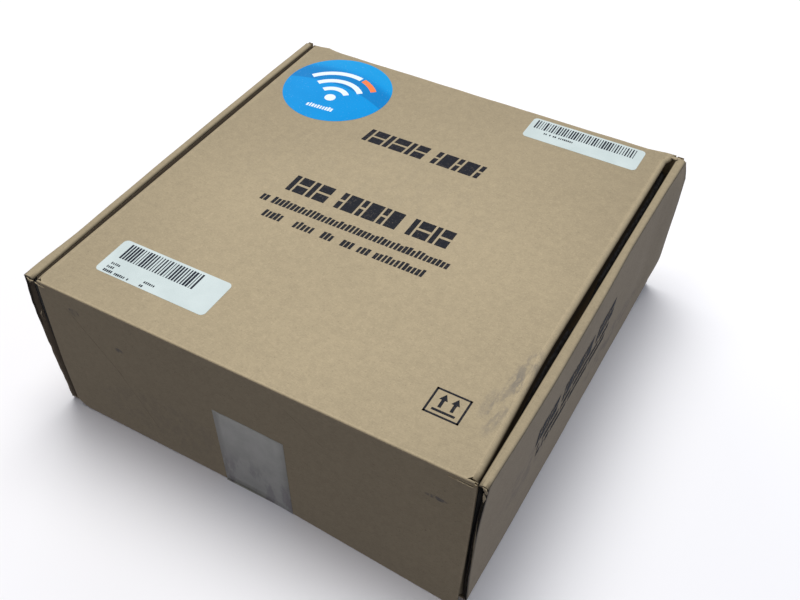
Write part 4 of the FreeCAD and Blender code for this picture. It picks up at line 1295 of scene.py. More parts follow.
# %% Inks
def ink_recipe(tone, paper):
    """Ink that the paper shows through in specks."""

    def recipe(tree, at):
        patchy = tree.grain(at, 800.0, 3.0, 0.6)
        fine = tree.grain(at, 2600.0, 2.0, 0.6)
        bare = (patchy * 0.6 + fine * 0.5).above(0.68, 0.10)
        colour = tree.blend(patchy.above(0.5, 0.4), scaled(tone, 0.8), scaled(tone, 1.2))
        colour = tree.blend(bare * 0.35, colour, paper)
        return {"Base Color": colour, "Roughness": patchy * 0.2 + 0.6, "Height": (fine, 0.2, 0.0001)}

    return recipe


BOX_INK = scaled(linear(40, 42, 50), 0.55)
LABEL_TYPE = linear(18, 24, 38)
LABEL_TYPE_WORN = linear(90, 98, 110)
ink_box = material("box ink", ink_recipe(BOX_INK, KRAFT), Specular_IOR_Level=0.12)
ink_label = material("label ink", ink_recipe(LABEL_TYPE, LABEL_TYPE_WORN), Specular_IOR_Level=0.15)
print("inks", ink_box.name, "and", ink_label.name)

# %% Laying rows and drawings on a surface
INK_THICKNESS = 0.04


def lay(u, v, corner):
    """The matrix that puts a flat drawing, u to its right and v upwards, at a corner given in millimetres."""
    u, v = Vector(u).normalized(), Vector(v).normalized()
    return Matrix.Translation(Vector(corner) * MM) @ Matrix((u, v, u.cross(v))).transposed().to_4x4()


def row(name, body, slot, ink, place, length, step, height, narrow, wide, short=1.0, slant=0.0, gaps=0.0,
        thick=INK_THICKNESS, seed=0, rows=2, bend=None):
    """One printed row, in millimetres, in its place."""
    mesh = grow(
        ROWS, ink, Length=length * MM, Step=step * MM, Height=height * MM, Narrow=narrow, Wide=wide,
        Short=short, Slant=slant, Gaps=gaps, Thickness=thick * MM, Row_count=rows, Seed=seed,
    )
    mesh.transform(place)
    made = new_object(name, mesh)
    if bend:
        bend_points(made, bend)
    return hand_over(made, body, slot)


def cut_lines(outline, axis, spacing):
    """Evenly spaced cut lines across an outline along one axis."""
    low = min(point[axis] for point in outline)
    high = max(point[axis] for point in outline)
    return [(low + spacing * (index + 1)) * MM for index in range(int((high - low) / spacing))]


def drawing(name, body, slot, ink, place, outlines, thick=INK_THICKNESS, bend=None, cut=None):
    """Flat closed shapes, in millimetres, as thick as ink. A drawing that bends is cut into a grid."""
    work = bmesh.new()
    for outline in outlines:
        steps = [cut_lines(outline, axis, cut) for axis in (0, 1)] if cut else ()
        flat_solid(work, [(u * MM, v * MM) for u, v in outline], 0.0, thick * MM, *steps)
    made = finish_mesh(name, work, ink)
    made.data.transform(place)
    if bend:
        bend_points(made, bend)
    return hand_over(made, body, slot)


print("ink is", INK_THICKNESS, "mm thick")


# %% Outlines of bars, rings and arcs
SLIT_LOW = 0.44
SLIT_HIGH = 0.56


def slant_bar(left, low, width, height, lean=0.0):
    return [(left, low), (left + width, low), (left + width + lean * height, low + height),
            (left + lean * height, low + height)]


def heading(left, low, height, widths, gap, lean):
    """A line of heavy bars. Every second bar is split by a thin level slit. A negative width is a space."""
    bars = []
    for index, width in enumerate(widths):
        if width > 0 and index % 2:
            rise = height * SLIT_HIGH
            bars.append(slant_bar(left, low, width, height * SLIT_LOW, lean))
            bars.append(slant_bar(left + lean * rise, low + rise, width, height - rise, lean))
        elif width > 0:
            bars.append(slant_bar(left, low, width, height, lean))
        left += abs(width) + gap
    return bars


def ring(middle, radius, width, start, end, steps):
    """A ring or an arc, as four-sided pieces side by side."""
    cells = []
    for index in range(steps):
        first = math.radians(start + (end - start) * index / steps)
        second = math.radians(start + (end - start) * (index + 1) / steps)
        corners = ((radius - width, first), (radius, first), (radius, second), (radius - width, second))
        cells.append([(middle[0] + reach * math.cos(angle), middle[1] + reach * math.sin(angle))
                      for reach, angle in corners])
    return cells


print("a ring of 20 pieces has", len(ring((0, 0), 10, 2, 0, 360, 20)), "outlines")

# %% [markdown]
# ## Print on the lid
#
# The lid carries two headings, two lines of small print and a this-way-up mark: two arrows on a line in a
# frame. Print is usually a texture. Here every bar is a thin solid, so it stays sharp close up.

# %% Headings and lines on the lid
ON_LID = TOP / MM
LID_INK = ("lid", "kraft_board", ink_box)
BAR_SHARES = (0.60, 0.86)
SHORTEST_LETTER = 0.72

lid_print = lay(X, Y, (0, 0, ON_LID))
drawing("print_heading", *LID_INK, lid_print,
        heading(-47, 59.5, 13.5, (3.2, 9, 3.2, 10, 3, 8, -3.5, 3.2, 9, 3.2, 9, 3), 1.5, 0.10))
second = (3.4, 8, 3.4, 9, -4, 3.4, 8.5, 3.2, 9, 3.4, 8, -4, 3.4, 9, 3.2, 7.5)
drawing("print_second_heading", *LID_INK, lid_print, heading(-61, -8, 15.5, second, 1.4, 0.0))
LINES = (("one", -70, -23, 131, 6.6, 5), ("two", -60, -35.5, 110, 6.8, 9))
for name, left, low, length, height, seed in LINES:
    row("print_line_" + name, *LID_INK, lay(X, Y, (left, low, ON_LID)), length, 2.75, height, *BAR_SHARES,
        SHORTEST_LETTER, 0.05, 0.13, seed=seed)

# %% This-way-up mark
FRAME_LEFT, FRAME_RIGHT = 95, 115
FRAME_LOW, FRAME_HIGH = -118.2, -101.0
FRAME_LINE = 1.2
STEM_HALF, HEAD_HALF = 0.9, 2.4
STEM_LOW, HEAD_LOW, HEAD_TIP = -112.6, -107.6, -103.4

mark = [
    rectangle(FRAME_LEFT, FRAME_LOW, FRAME_RIGHT, FRAME_LOW + FRAME_LINE),
    rectangle(FRAME_LEFT, FRAME_HIGH - FRAME_LINE, FRAME_RIGHT, FRAME_HIGH),
    rectangle(FRAME_LEFT, FRAME_LOW, FRAME_LEFT + FRAME_LINE, FRAME_HIGH),
    rectangle(FRAME_RIGHT - FRAME_LINE, FRAME_LOW, FRAME_RIGHT, FRAME_HIGH),
    rectangle(98.5, -115.4, 111.5, -113.9),
]
for middle in (101.6, 108.4):
    mark.append(rectangle(middle - STEM_HALF, STEM_LOW, middle + STEM_HALF, HEAD_LOW))
    mark.append([(middle - HEAD_HALF, HEAD_LOW), (middle + HEAD_HALF, HEAD_LOW), (middle, HEAD_TIP)])
drawing("print_this_way_up_mark", *LID_INK, lid_print, mark)

# %% [markdown]
# ## Print on the right wall
#
# The right wall has the same kind of heading over two lines. The wall is bent, and flat print would cut
# through it or float. So this print is cut into small squares and follows the wall's own settling rule.

# %% Heading and lines on the right wall
WALL_INK = ("carton", "kraft_board", ink_box)
ON_WALL = HALF_W / MM + 0.10
PRINT_GRID = 4

drawing("print_wall_heading", *WALL_INK, lay(Y, Z, (ON_WALL, 0, 0)),
        heading(-75, 63, 15.5, (3.4, 8, 3.4, 9, -4, 3.4, 8.5, 3.2, 9, 3.4, 8, -4, 3.4, 9, 3.2, 8), 1.6, 0.0),
        bend=settle, cut=PRINT_GRID)
for name, low, start, length, seed in (("one", 55.0, -76, 117, 4), ("two", 47.5, -70, 106, 8)):
    row("print_wall_line_" + name, *WALL_INK, lay(Y, Z, (ON_WALL, start, low)), length, 2.5, 5.0,
        *BAR_SHARES, 0.75, 0.2, 0.12, seed=seed, rows=5, bend=settle)

# %% [markdown]
# ## Labels, sticker and tape
#
# The two labels, the round sticker and the tape's end under the base are thin parts of the model already,
# so their shapes stay, and each gets a finish of its own. The tape on the flap has to follow the flap's
# bend, so it is made anew as a strip. Label stock is smooth and bluish white. The sticker is vinyl with a
# darker band printed across it. The tape is clear film over kraft: it looks grey because it shines, and it
# is cloudy where the glue didn't take.

# %% Finishes of the labels and the sticker
def label_recipe(tree, at):
    cloud = tree.grain(at, 60.0, 3.0)
    fine = tree.grain(at, 1300.0, 2.0)
    scuff = tree.grain(at, 240.0, 4.0, 0.7).above(0.70, 0.08)
    colour = tree.blend(cloud.above(0.5, 0.5), linear(186, 199, 196), linear(196, 208, 205))
    colour = tree.blend(scuff * 0.4, colour, linear(165, 172, 176))
    return {"Base Color": colour, "Roughness": cloud * 0.15 + 0.42, "Height": (fine, 0.12, 0.0001)}


sticker_low, sticker_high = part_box("round_sticker")
STICKER = (sticker_low + sticker_high) / 2
STICKER_R = (sticker_high.x - sticker_low.x) / 2

BLUE_DARK = (0.001, 0.250, 0.60)
BLUE_LIGHT = (0.001, 0.270, 0.64)
BLUE_BAND = (0.001, 0.165, 0.44)
BLUE_TOP = (0.012, 0.320, 0.66)


def sticker_recipe(tree, at):
    """Blue vinyl with a darker arched band, and a little paler above it."""
    x, y, _ = tree.axes(at)
    cloud = tree.grain(at, 40.0, 2.0)
    arch = ((x - STICKER.x + 6 * MM) / (62 * MM)).math("POWER", 2.0) * (24 * MM)
    rise = (y - STICKER.y) - 5 * MM + arch
    band = rise.above(0.0, 1.4 * MM) * rise.below(17 * MM, 9 * MM)
    top = rise.above(20 * MM, 12 * MM)
    colour = tree.blend(cloud.above(0.5, 0.6), BLUE_DARK, BLUE_LIGHT)
    colour = tree.blend(band * 0.75, colour, BLUE_BAND)
    colour = tree.blend(top * 0.5, colour, BLUE_TOP)
    scuff = tree.grain(at, 900.0, 2.0).above(0.70, 0.08)
    colour = tree.blend(scuff * 0.15, colour, (0.6, 0.7, 0.8))
    return {"Base Color": colour, "Roughness": cloud * 0.1 + 0.30, "Height": (cloud, 0.1, 0.0005)}


def refinish(node, finish):
    """Gives a node of the packed model another finish. Its shape and place stay."""
    one = NODES[node]
    one.data.materials.clear()
    one.data.materials.append(finish)
    return one


label_paper = material("label paper", label_recipe, Specular_IOR_Level=0.4)
sticker_vinyl = material("sticker vinyl", sticker_recipe, Specular_IOR_Level=0.06)
for node in ("barcode_label_near", "barcode_label_far"):
    refinish(node, label_paper)
refinish("round_sticker", sticker_vinyl)
print("the sticker is", round(2 * STICKER_R / MM, 1), "mm across")


# %% [markdown]
# ## The clear tape
#
# The tape holds the flap down and goes on under the base. Real film is see-through, but its shine, the glue
# and the paper under it give it one even grey, so an opaque finish with a soft gloss is closer and renders
# without noise. Its pale grey base colour is partly painted sheen.

# %% The clear tape
def tape_recipe(tree, at):
    """Film with a pale grey base colour, partly painted sheen, and cloudier near its lower end."""
    _, _, z = tree.axes(at)
    cloud = tree.grain(at, 70.0, 3.0, 0.6)
    grain = tree.grain(at, 900.0, 2.0)
    smear = tree.grain(at, 90.0, 4.0, 0.65, (1.0, 1.0, 0.35))
    low = z.below(30 * MM, 22 * MM)
    patchy = smear.above(0.50, 0.14) * low
    colour = tree.blend(cloud.above(0.5, 0.4), linear(158, 158, 146), linear(172, 172, 160))
    colour = tree.blend(patchy * 0.55, colour, linear(128, 120, 122))
    colour = tree.blend(grain.above(0.68, 0.1) * 0.2, colour, linear(205, 205, 205))
    height = cloud + grain * 0.2
    return {"Base Color": colour, "Roughness": patchy * 0.25 + 0.28, "Height": (height, 0.2, 0.0003)}


TAPE_GRID = 6 * MM
TAPE_LIFT = (0.02 * MM, 0.12 * MM)

tape_film = material("clear tape", tape_recipe, Specular_IOR_Level=0.6)
refinish("sealing_tape_base", tape_film)
tape_place, tape_w, tape_h = panel_frame("sealing_tape_flap", "-y")
tape_outline = [(0, 0), (tape_w, -0.5 * MM), (tape_w, tape_h), (0.6 * MM, tape_h)]
across = [TAPE_GRID * (index + 1) for index in range(7)]
upwards = [TAPE_GRID * (index + 1) for index in range(11)]
work = bmesh.new()
flat_solid(work, tape_outline, *TAPE_LIFT, across, upwards)
tape_strip = finish_mesh("tape_on_the_flap", work, tape_film, smooth=True)
tape_strip.data.transform(tape_place)
bend_points(tape_strip, hang)
hand_over(tape_strip, "front_flap", "tape", "sealing_tape_flap")

# %% [markdown]
# ## Print on the labels and the sticker
#
# Each label has a bar code and a few short lines, and nothing on them can be read: the bars are seeded, not
# coded. The sticker has a plain signal sign, three arcs over a dot, with a small line under it. Every
# stroke is a thin solid on the sticker, drawn round one hub.

# %% Rows on the two labels
ON_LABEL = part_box("barcode_label_near")[1].z / MM
LABEL_INK = ("lid", "label_paper", ink_label)
THIN_INK = 0.02
SMALL_TYPE = (0.5, 0.8, 0.75, 0.0)


def label_row(name, corner, left, low, *sizes, seed):
    """One row on a label, placed in millimetres from the label's near left corner."""
    place = lay(X, Y, (corner.x + left, corner.y + low, ON_LABEL))
    row(name, *LABEL_INK, place, *sizes, thick=THIN_INK, seed=seed)


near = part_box("barcode_label_near")[0] / MM
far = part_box("barcode_label_far")[0] / MM
label_row("near_label_bars", near, 6.0, 13.6, 54, 1.95, 12.6, 0.22, 0.74, seed=3)
for name, left, low, length, tall, seed in (
    ("a", 5.4, 7.6, 7.0, 1.9, 1), ("b", 4.8, 4.4, 6.0, 1.9, 2), ("c", 4.8, 1.2, 19.0, 2.0, 3),
    ("d", 31.6, 4.2, 7.8, 2.0, 6), ("e", 30.8, 1.0, 2.7, 2.0, 5),
):
    label_row("near_label_text_" + name, near, left, low, length, 1.3, tall, *SMALL_TYPE, 0.10, seed=seed)
label_row("far_label_bars", far, 3.0, 11.6, 71, 1.75, 9.4, 0.24, 0.72, seed=7)
label_row("far_label_text", far, 12, 7.6, 22, 1.3, 2.0, *SMALL_TYPE, 0.12, seed=8)


# %% [markdown]
# ## The sign on the sticker
#
# The sticker carries a plain signal sign: a dot and three arcs, one of them partly orange. An arc could be
# a curve with a bevel, but flat four-sided pieces side by side stay thin, closed and even.

# %% The signal sign on the sticker
def print_recipe(tone):
    def recipe(tree, at):
        cloud = tree.grain(at, 300.0, 2.0)
        return {"Base Color": tree.blend(cloud, scaled(tone, 0.94), tone), "Roughness": cloud * 0.1 + 0.3}

    return recipe


STICKER_TURN = 0.06
HUB = (0, -11)
DOT_RADIUS = 3.9
ARC_RADII = (13.2, 22.8, 32.4)
ARC_WIDTH = 4.1
ARC_START, ARC_END = 38, 142

white_print = material("white print", print_recipe(linear(222, 232, 238)), Specular_IOR_Level=0.4)
orange_print = material("orange print", print_recipe(linear(240, 120, 50)), Specular_IOR_Level=0.4)
STICKER_INK = ("lid", "sticker_vinyl", white_print)
middle = (STICKER.x / MM, STICKER.y / MM, ON_LABEL)
on_sticker = lay(X.lerp(Y, STICKER_TURN), Y.lerp(-X, STICKER_TURN), middle)
inner, mid, outer = ARC_RADII
strokes = ring(HUB, DOT_RADIUS, DOT_RADIUS - 0.1, 0, 360, 20)
strokes += ring(HUB, inner, ARC_WIDTH, ARC_START, ARC_END, 18)
strokes += ring(HUB, mid, ARC_WIDTH, ARC_START, ARC_END, 26)
strokes += ring(HUB, outer, ARC_WIDTH, 72, ARC_END, 22)
drawing("sticker_signal_arcs", *STICKER_INK, on_sticker, strokes, THIN_INK)
drawing("sticker_orange_arc", "lid", "sticker_vinyl", orange_print, on_sticker,
        ring(HUB, outer, ARC_WIDTH, ARC_START, 68, 12), THIN_INK)
small_line = on_sticker @ Matrix.Translation((-11 * MM, -26 * MM, 0))
row("sticker_small_line", *STICKER_INK, small_line, 22, 2.0, 4.4, 0.55, 0.8, 0.7, thick=THIN_INK, seed=4)

# %% [markdown]
# ## What is packed inside
#
# Under the lid two foam caps hold the surge protector, and a small white carton of accessories lies on it
# with the folded guide. These parts keep their modelled shapes, so each only needs the finish of its real
# material: powder coat, moulded plastic, plated steel, solder mask, foam, card. One recipe with a few
# numbers makes all the coated and moulded ones, and one makes all the metals.

# %% One recipe for what is coated or moulded, one for metal
def coated(name, tone, grain_scale, rough, depth=0.25, **plain):
    """A moulded or coated surface: one tone with fine grain, a little dust and small scuffs."""
    def recipe(tree, at):
        cloud = tree.grain(at, 30.0, 3.0)
        grain = tree.grain(at, grain_scale, 2.0)
        scuff = tree.grain(at, 420.0, 4.0, 0.7).above(0.72, 0.06)
        colour = tree.blend(cloud.above(0.5, 0.6), scaled(tone, 0.9), scaled(tone, 1.12))
        colour = tree.blend(scuff * 0.25, colour, tuple(part * 0.5 + 0.12 for part in tone))
        return {"Base Color": colour, "Roughness": grain * 0.15 + rough, "Height": (grain, depth, 0.0002)}

    return material(name, recipe, **plain)


def metal(name, tone, rough, squash=(0.15, 1.0, 1.0)):
    """Rolled or plated metal: a brushed direction, and duller where it was touched."""
    def recipe(tree, at):
        brushed = tree.grain(at, 1200.0, 2.0, 0.6, squash)
        cloud = tree.grain(at, 90.0, 3.0)
        colour = tree.blend(cloud.above(0.5, 0.5), scaled(tone, 0.85), tone)
        return {"Base Color": colour, "Roughness": brushed * 0.18 + cloud * 0.12 + rough,
                "Height": (brushed, 0.15, 0.0001)}

    return material(name, recipe, Metallic=1.0)

print("recipes:", coated.__name__, "and", metal.__name__)


# %% [markdown]
# ## Solder mask, foam and card
#
# Three finishes have a pattern that says what they are: traces under green lacquer, beads pressed into
# foam, and the faint cloud of white card. Each pattern is a formula on the piece's own coordinates.

# %% Solder mask, foam and card
TRACE_PITCH = 900.0
BEAD_SCALE = 330.0


def board_recipe(tree, at):
    """Green solder mask with paler traces under it, running square to each other."""
    x, y, _ = tree.axes(at)
    region = tree.grain(at, 55.0, 1.0)
    along = (x * TRACE_PITCH).sine().above(0.4, 0.3)
    across = (y * TRACE_PITCH).sine().above(0.4, 0.3)
    traces = tree.blend(region.above(0.5, 0.01), (0, 0, 0), (1, 1, 1))
    lines = along * traces + across * (1 - traces)
    grain = tree.grain(at, 700.0, 2.0)
    colour = tree.blend(lines, (0.006, 0.060, 0.022), (0.018, 0.135, 0.045))
    return {"Base Color": colour, "Roughness": grain * 0.1 + 0.28, "Height": (lines, 0.3, 0.0001)}


def foam_recipe(tree, at):
    """Expanded foam: beads pressed into each other, dark in the joints between them."""
    beads = tree.add("ShaderNodeTexVoronoi", {"feature": "F1"}, {"Vector": at, "Scale": BEAD_SCALE})
    skin = tree.grain(at, 1500.0, 2.0)
    joint = beads.above(0.55, 0.35)
    colour = tree.blend(joint, (0.042, 0.043, 0.045), (0.024, 0.024, 0.026))
    height = 1 - beads + skin * 0.2
    return {"Base Color": colour, "Roughness": skin * 0.1 + 0.78, "Height": (height, 0.7, 0.0012)}


def card_recipe(tree, at):
    """Smooth white card, slightly cloudy."""
    fine = tree.grain(at, 1100.0, 3.0, 0.6)
    cloud = tree.grain(at, 24.0, 2.0)
    colour = tree.blend(cloud * 0.6 + fine * 0.4, (0.62, 0.62, 0.60), (0.76, 0.76, 0.745))
    return {"Base Color": colour, "Roughness": fine * 0.15 + 0.5, "Height": (fine, 0.2, 0.0001)}


foam = material("charcoal foam", foam_recipe, Specular_IOR_Level=0.2)
print("foam beads are about", round(1 / BEAD_SCALE / MM, 1), "mm across")

# %% A finish for every material slot of the packed parts
FINISHES = {
    "black_steel": coated("black powder coat", (0.016, 0.016, 0.017), 1100.0, 0.42, 0.5),
    "black_plastic": coated("black plastic", (0.022, 0.022, 0.024), 1500.0, 0.34, 0.3),
    "plated_steel": metal("zinc plated steel", (0.66, 0.66, 0.68), 0.22),
    "bracket_steel": coated("bracket coat", (0.030, 0.030, 0.033), 900.0, 0.40, 0.4),
    "contact_brass": metal("brass", (0.80, 0.58, 0.24), 0.20),
    "red_plastic": coated("red plastic", (0.42, 0.020, 0.016), 1200.0, 0.30, 0.2),
    "foot_rubber": coated("foot rubber", (0.020, 0.020, 0.020), 700.0, 0.72, 0.5),
    "lens_plastic": coated("lens plastic", (0.30, 0.62, 0.34), 500.0, 0.10, 0.1, Transmission_Weight=0.4),
    "circuit_board": material("solder mask", board_recipe, Coat_Weight=0.3, Coat_Roughness=0.2),
    "blue_plastic": coated("blue epoxy", (0.018, 0.075, 0.26), 600.0, 0.25, 0.3),
    "choke_winding": coated("enamelled copper", (0.42, 0.13, 0.035), 900.0, 0.28, 0.2),
    "yellow_plastic": coated("yellow film box", (0.66, 0.46, 0.05), 1000.0, 0.32, 0.2),
    "fuse_ceramic": coated("fuse ceramic", (0.66, 0.64, 0.58), 1300.0, 0.35, 0.2),
    "white_card": material("white card", card_recipe, Specular_IOR_Level=0.35),
    "guide_paper": material("guide paper", card_recipe, Specular_IOR_Level=0.35),
    "foam": foam,
}
DONE = {"barcode_label_near", "barcode_label_far", "round_sticker", "sealing_tape_flap", "sealing_tape_base"}
packed = [node for node, slot in SLOT_OF.items() if slot in FINISHES and node not in DONE]
for node in packed:
    refinish(node, FINISHES[SLOT_OF[node]])
print("refinished", len(packed), "nodes")

# %% [markdown]
# ## Marks and screws of the packed parts
#
# Small things tell a person what a part is: a number beside each outlet, a cross cut in a screw's head,
# lines of type on a guide. Numbers are built from seven strokes, as on an old calculator, because a font
# would be one more thing to load. The guide's type is greeked like the print on the carton.

# %% Numbers beside the outlets
STROKES = {
    "top": (0, 1, 1, 1), "middle": (0, 0.5, 1, 0.5), "low": (0, 0, 1, 0), "left top": (0, 0.5, 0, 1),
    "right top": (1, 0.5, 1, 1), "left low": (0, 0, 0, 0.5), "right low": (1, 0, 1, 0.5),
}
DIGITS = {
    1: ("right top", "right low"), 2: ("top", "right top", "middle", "left low", "low"),
    3: ("top", "right top", "middle", "right low", "low"),
    4: ("left top", "middle", "right top", "right low"), 5: ("top", "left top", "middle", "right low", "low"),
}
DIGIT_W, DIGIT_H, DIGIT_LINE = 3.2, 5.6, 0.7
DIGIT_OFFSET = 3.5


def digit(number, middle, low):
    """The bars of one number, each a little shorter than its place so that they never overlap."""
    bars = []
    inset, half = DIGIT_LINE * 0.6, DIGIT_LINE / 2
    for name in DIGITS[number]:
        u0, v0, u1, v1 = STROKES[name]
        du, dv = (-inset, half) if v0 == v1 else (half, -inset)
        left, right = middle + (u0 - 0.5) * DIGIT_W - du, middle + (u1 - 0.5) * DIGIT_W + du
        bars.append(rectangle(left, low + v0 * DIGIT_H - dv, right, low + v1 * DIGIT_H + dv))
    return bars


numbers = []
for number in DIGITS:
    low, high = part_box("receptacle_%d" % number)
    numbers += digit(number, (low.x + high.x) / 2 / MM, high.y / MM + DIGIT_OFFSET)
on_cover = lay(X, Y, (0, 0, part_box("chassis_cover")[1].z / MM))
drawing("outlet_numbers", "carton", "black_steel", white_print, on_cover, numbers)

# %% [markdown]
# ## Crosses in the cover screws
#
# The screws of the cover have a cross for the driver. Cutting it from the turned heads would change the
# model's own shape, so a thin dark cross lies on each head: painted shade for the recess that is not cut.

# %% Crosses in the cover screws
CROSS_REACH, CROSS_HALF = 1.9, 0.42
HEAD_RADIUS = 3.2


def cross(middle):
    """A twelve-cornered cross."""
    reach, half = CROSS_REACH, CROSS_HALF
    corners = [(reach, half), (half, half), (half, reach), (-half, reach), (-half, half), (-reach, half)]
    return [(middle[0] + u, middle[1] + v) for u, v in corners + [(-u, -v) for u, v in corners]]


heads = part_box("cover_screws")[1] / MM
spots = [(u * (heads.x - HEAD_RADIUS), v * (heads.y - HEAD_RADIUS)) for u in (-1, 1) for v in (-1, 1)]
# A dark coat that stands in for the shade inside each cross recess: painted shade.
recess_painted_shade = coated("shadowed steel", (0.020, 0.020, 0.022), 900.0, 0.5, 0.3)
drawing("screw_recesses", "carton", "plated_steel", recess_painted_shade, lay(X, Y, (0, 0, heads.z)),
        [cross(spot) for spot in spots])

# %% Greeked type on the guide
GUIDE_INK = ("carton", "guide_paper", ink_label)
GUIDE_THICK = 0.03
COLUMNS = (-58, 6)
LINES_PER_COLUMN = 5
LINE_SPACING = 6.5

on_guide = lay(X, Y, (0, 0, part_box("quick_guide")[1].z / MM))
drawing("guide_heading", *GUIDE_INK, on_guide,
        heading(-58, 34, 6, (6, 4, 7, 3, 5, -2, 8, 4, 6), 1.0, 0.0), GUIDE_THICK)
for index in range(9):
    column, line = divmod(index, LINES_PER_COLUMN)
    place = on_guide @ Matrix.Translation((COLUMNS[column] * MM, (24 - LINE_SPACING * line) * MM, 0))
    row("guide_line_%d" % index, *GUIDE_INK, place, 50 - 4 * (index % 3), 1.5, 2.2, 0.5, 0.85, 0.7, 0.0, 0.14,
        thick=GUIDE_THICK, seed=30 + index)
picture_frame = [
    slant_bar(-58, -42, 50, 0.5), slant_bar(-58, -14, 50, 0.5),
    slant_bar(-58, -41.5, 0.5, 27.5), slant_bar(-8.5, -41.5, 0.5, 27.5),
]
pictures = [slant_bar(-50, -34, 34, 12), slant_bar(6, -42, 50, 14)]
drawing("guide_panels", *GUIDE_INK, on_guide, picture_frame + pictures, GUIDE_THICK)

# %% [markdown]
# ## Moulded foam caps
#
# The foam caps are cut as sharp-edged solids in the model. Real moulded foam has soft edges everywhere, so
# a copy of each solid is remeshed into small even faces and then smoothed, which rounds every edge by the
# same few millimetres. Beveling would be the usual way, but it breaks where the finger notch crosses the
# pocket.

# %% Foam caps
VOXEL = 2.4 * MM
SMOOTHING_ROUNDS = 6
TOP_EDGE_WORN = 6.0 * MM


def moulded(name, source):
    """A copy of a sharp solid with all its edges rounded."""
    mesh = source.data.copy()
    work = bmesh.new()
    work.from_mesh(mesh)
    bmesh.ops.remove_doubles(work, verts=work.verts, dist=1e-5)
    work.to_mesh(mesh)
    work.free()
    cap = new_object(name, mesh)
    remesh = cap.modifiers.new("even faces", "REMESH")
    remesh.mode = "VOXEL"
    remesh.voxel_size = VOXEL
    soften = cap.modifiers.new("soft edges", "SMOOTH")
    soften.factor = 0.5
    soften.iterations = SMOOTHING_ROUNDS
    graph = bpy.context.evaluated_depsgraph_get()
    graph.update()
    smooth = bpy.data.meshes.new_from_object(cap.evaluated_get(graph))
    cap.modifiers.clear()
    cap.data = smooth
    return cap


def wear_and_settle(point):
    """The outer top edge is worn down, and the cap moves with the wall beside it."""
    worn = point.copy()
    worn.z -= TOP_EDGE_WORN * ease(abs(point.x), 0.125, 0.1345) * ease(point.z, 0.090, 0.1085)
    return settle(worn)


for side in SIDES:
    cap = moulded("foam_cap_%s_moulded" % side, NODES["foam_cap_" + side])
    bend_points(cap, wear_and_settle)
    for face in cap.data.polygons:
        face.use_smooth = True
    cap.data.materials.clear()
    cap.data.materials.append(foam)
    hand_over(cap, "carton", "foam", "foam_cap_" + side)

# %% [markdown]
# ## Camera
#
# The carton is seen from the front, from the right and from above. A camera can be aimed by hand, but its
# picture is easier to keep when its place and the two directions that matter, forwards and to the right,
# are written down.

# %% Camera
LENS = 44.53
CAMERA_PLACE = (0.23544, -0.38988, 0.49565)
FORWARDS = Vector((-0.34632, 0.61576, -0.70775)).normalized()
RIGHTWARDS = Vector((0.8716, 0.4902, 0.0054))

camera_data = bpy.data.cameras.new("camera")
camera = bpy.data.objects.new("camera", camera_data)
bpy.context.scene.collection.objects.link(camera)
camera_data.sensor_width = 36.0
camera_data.lens = LENS
right = (RIGHTWARDS - FORWARDS * RIGHTWARDS.dot(FORWARDS)).normalized()
up = right.cross(FORWARDS)
turn = Matrix((right, up, -FORWARDS)).transposed().to_4x4()
camera.matrix_world = Matrix.Translation(CAMERA_PLACE) @ turn
bpy.context.scene.camera = camera
print("camera", round(Vector(CAMERA_PLACE).length, 2), "m from the middle of the carton's underside")

# %% [markdown]
# ## Floor and light
#
# A pale floor that curves up into a wall all round shows no horizon. The light is one broad soft lamp
# overhead, so the lid is bright and the upright faces are several times darker. A little light from the
# right cools the side, and a weak fill opens the far walls. A sky picture would be quicker, but its
# reflections would show in the tape.

# %% Floor
FLOOR_RADIUS = 2.4
SWEEP = 1.0
SWEEP_STEPS = 8
WALL_TOP = 3.2
FLOOR_TONE = (0.88, 0.88, 0.88, 1)


def sweep_profile():
    """The floor runs level, then curves up into a wall."""
    profile = [(0.0, 0.0), (0.8, 0.0), (FLOOR_RADIUS, 0.0)]
    for index in range(1, SWEEP_STEPS + 1):
        angle = math.pi / 2 * index / SWEEP_STEPS
        profile.append((FLOOR_RADIUS + SWEEP * math.sin(angle), SWEEP * (1 - math.cos(angle))))
    return profile + [(FLOOR_RADIUS + SWEEP, WALL_TOP)]


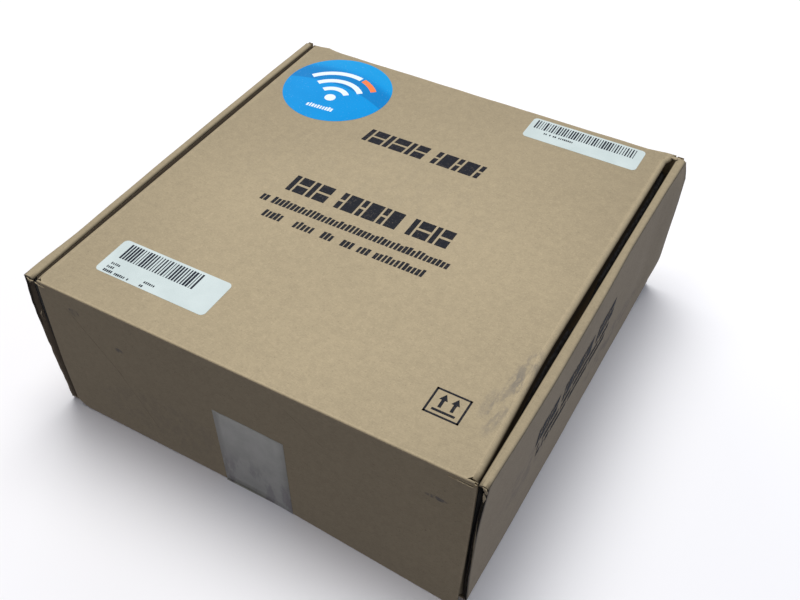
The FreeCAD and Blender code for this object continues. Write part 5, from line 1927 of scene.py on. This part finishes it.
def floor_recipe(tree, at):
    return {"Roughness": tree.grain(at, 3.0, 2.0) * 0.1 + 0.8}


work = bmesh.new()
profile = [work.verts.new((radius, 0.0, height)) for radius, height in sweep_profile()]
edges = [work.edges.new(pair) for pair in zip(profile, profile[1:])]
bmesh.ops.spin(work, geom=profile + edges, cent=(0, 0, 0), axis=(0, 0, 1), angle=2 * math.pi, steps=48)
bmesh.ops.remove_doubles(work, verts=work.verts, dist=1e-5)
floor_mesh = bpy.data.meshes.new("floor")
work.to_mesh(floor_mesh)
work.free()
for face in floor_mesh.polygons:
    face.use_smooth = True
floor = new_object("floor", floor_mesh, material("pale floor", floor_recipe, Base_Color=FLOOR_TONE))
floor.visible_diffuse = False
floor.visible_shadow = False
print("floor", len(floor_mesh.polygons), "faces")


# %% Lamps and the light of the surroundings
def lamp(name, place, aim, side, power, colour):
    """A square area lamp, aimed at a place."""
    data = bpy.data.lights.new(name, "AREA")
    data.shape = "RECTANGLE"
    data.size = side
    data.size_y = side
    data.energy = power
    data.color = colour
    made = bpy.data.objects.new(name, data)
    bpy.context.scene.collection.objects.link(made)
    aim_way = Vector(aim) - Vector(place)
    made.matrix_world = Matrix.Translation(place) @ aim_way.to_track_quat("-Z", "Y").to_matrix().to_4x4()
    print(name, power, "W")


lamp("overhead", (-0.25, 0.35, 2.2), (0, 0, 0.1), 1.5, 52.0, (1.0, 0.99, 0.985))
lamp("right side", (2.0, 0.9, 0.7), (0.1, 0, 0.05), 1.0, 8.0, (0.58, 0.76, 1.0))
lamp("left and back fill", (-1.6, 1.6, 0.8), (0, 0, 0.05), 1.0, 8.0, (0.95, 0.97, 1.0))
world = bpy.data.worlds.new("world")
bpy.context.scene.world = world
world.use_nodes = True
surroundings = world.node_tree.nodes["Background"]
surroundings.inputs["Color"].default_value = (0.84, 0.84, 1.0, 1)
surroundings.inputs["Strength"].default_value = 0.25
bpy.context.scene.view_settings.view_transform = "Standard"

# %% [markdown]
# Its box may stand out past the modelled one only by the few millimetres that the bent walls need.
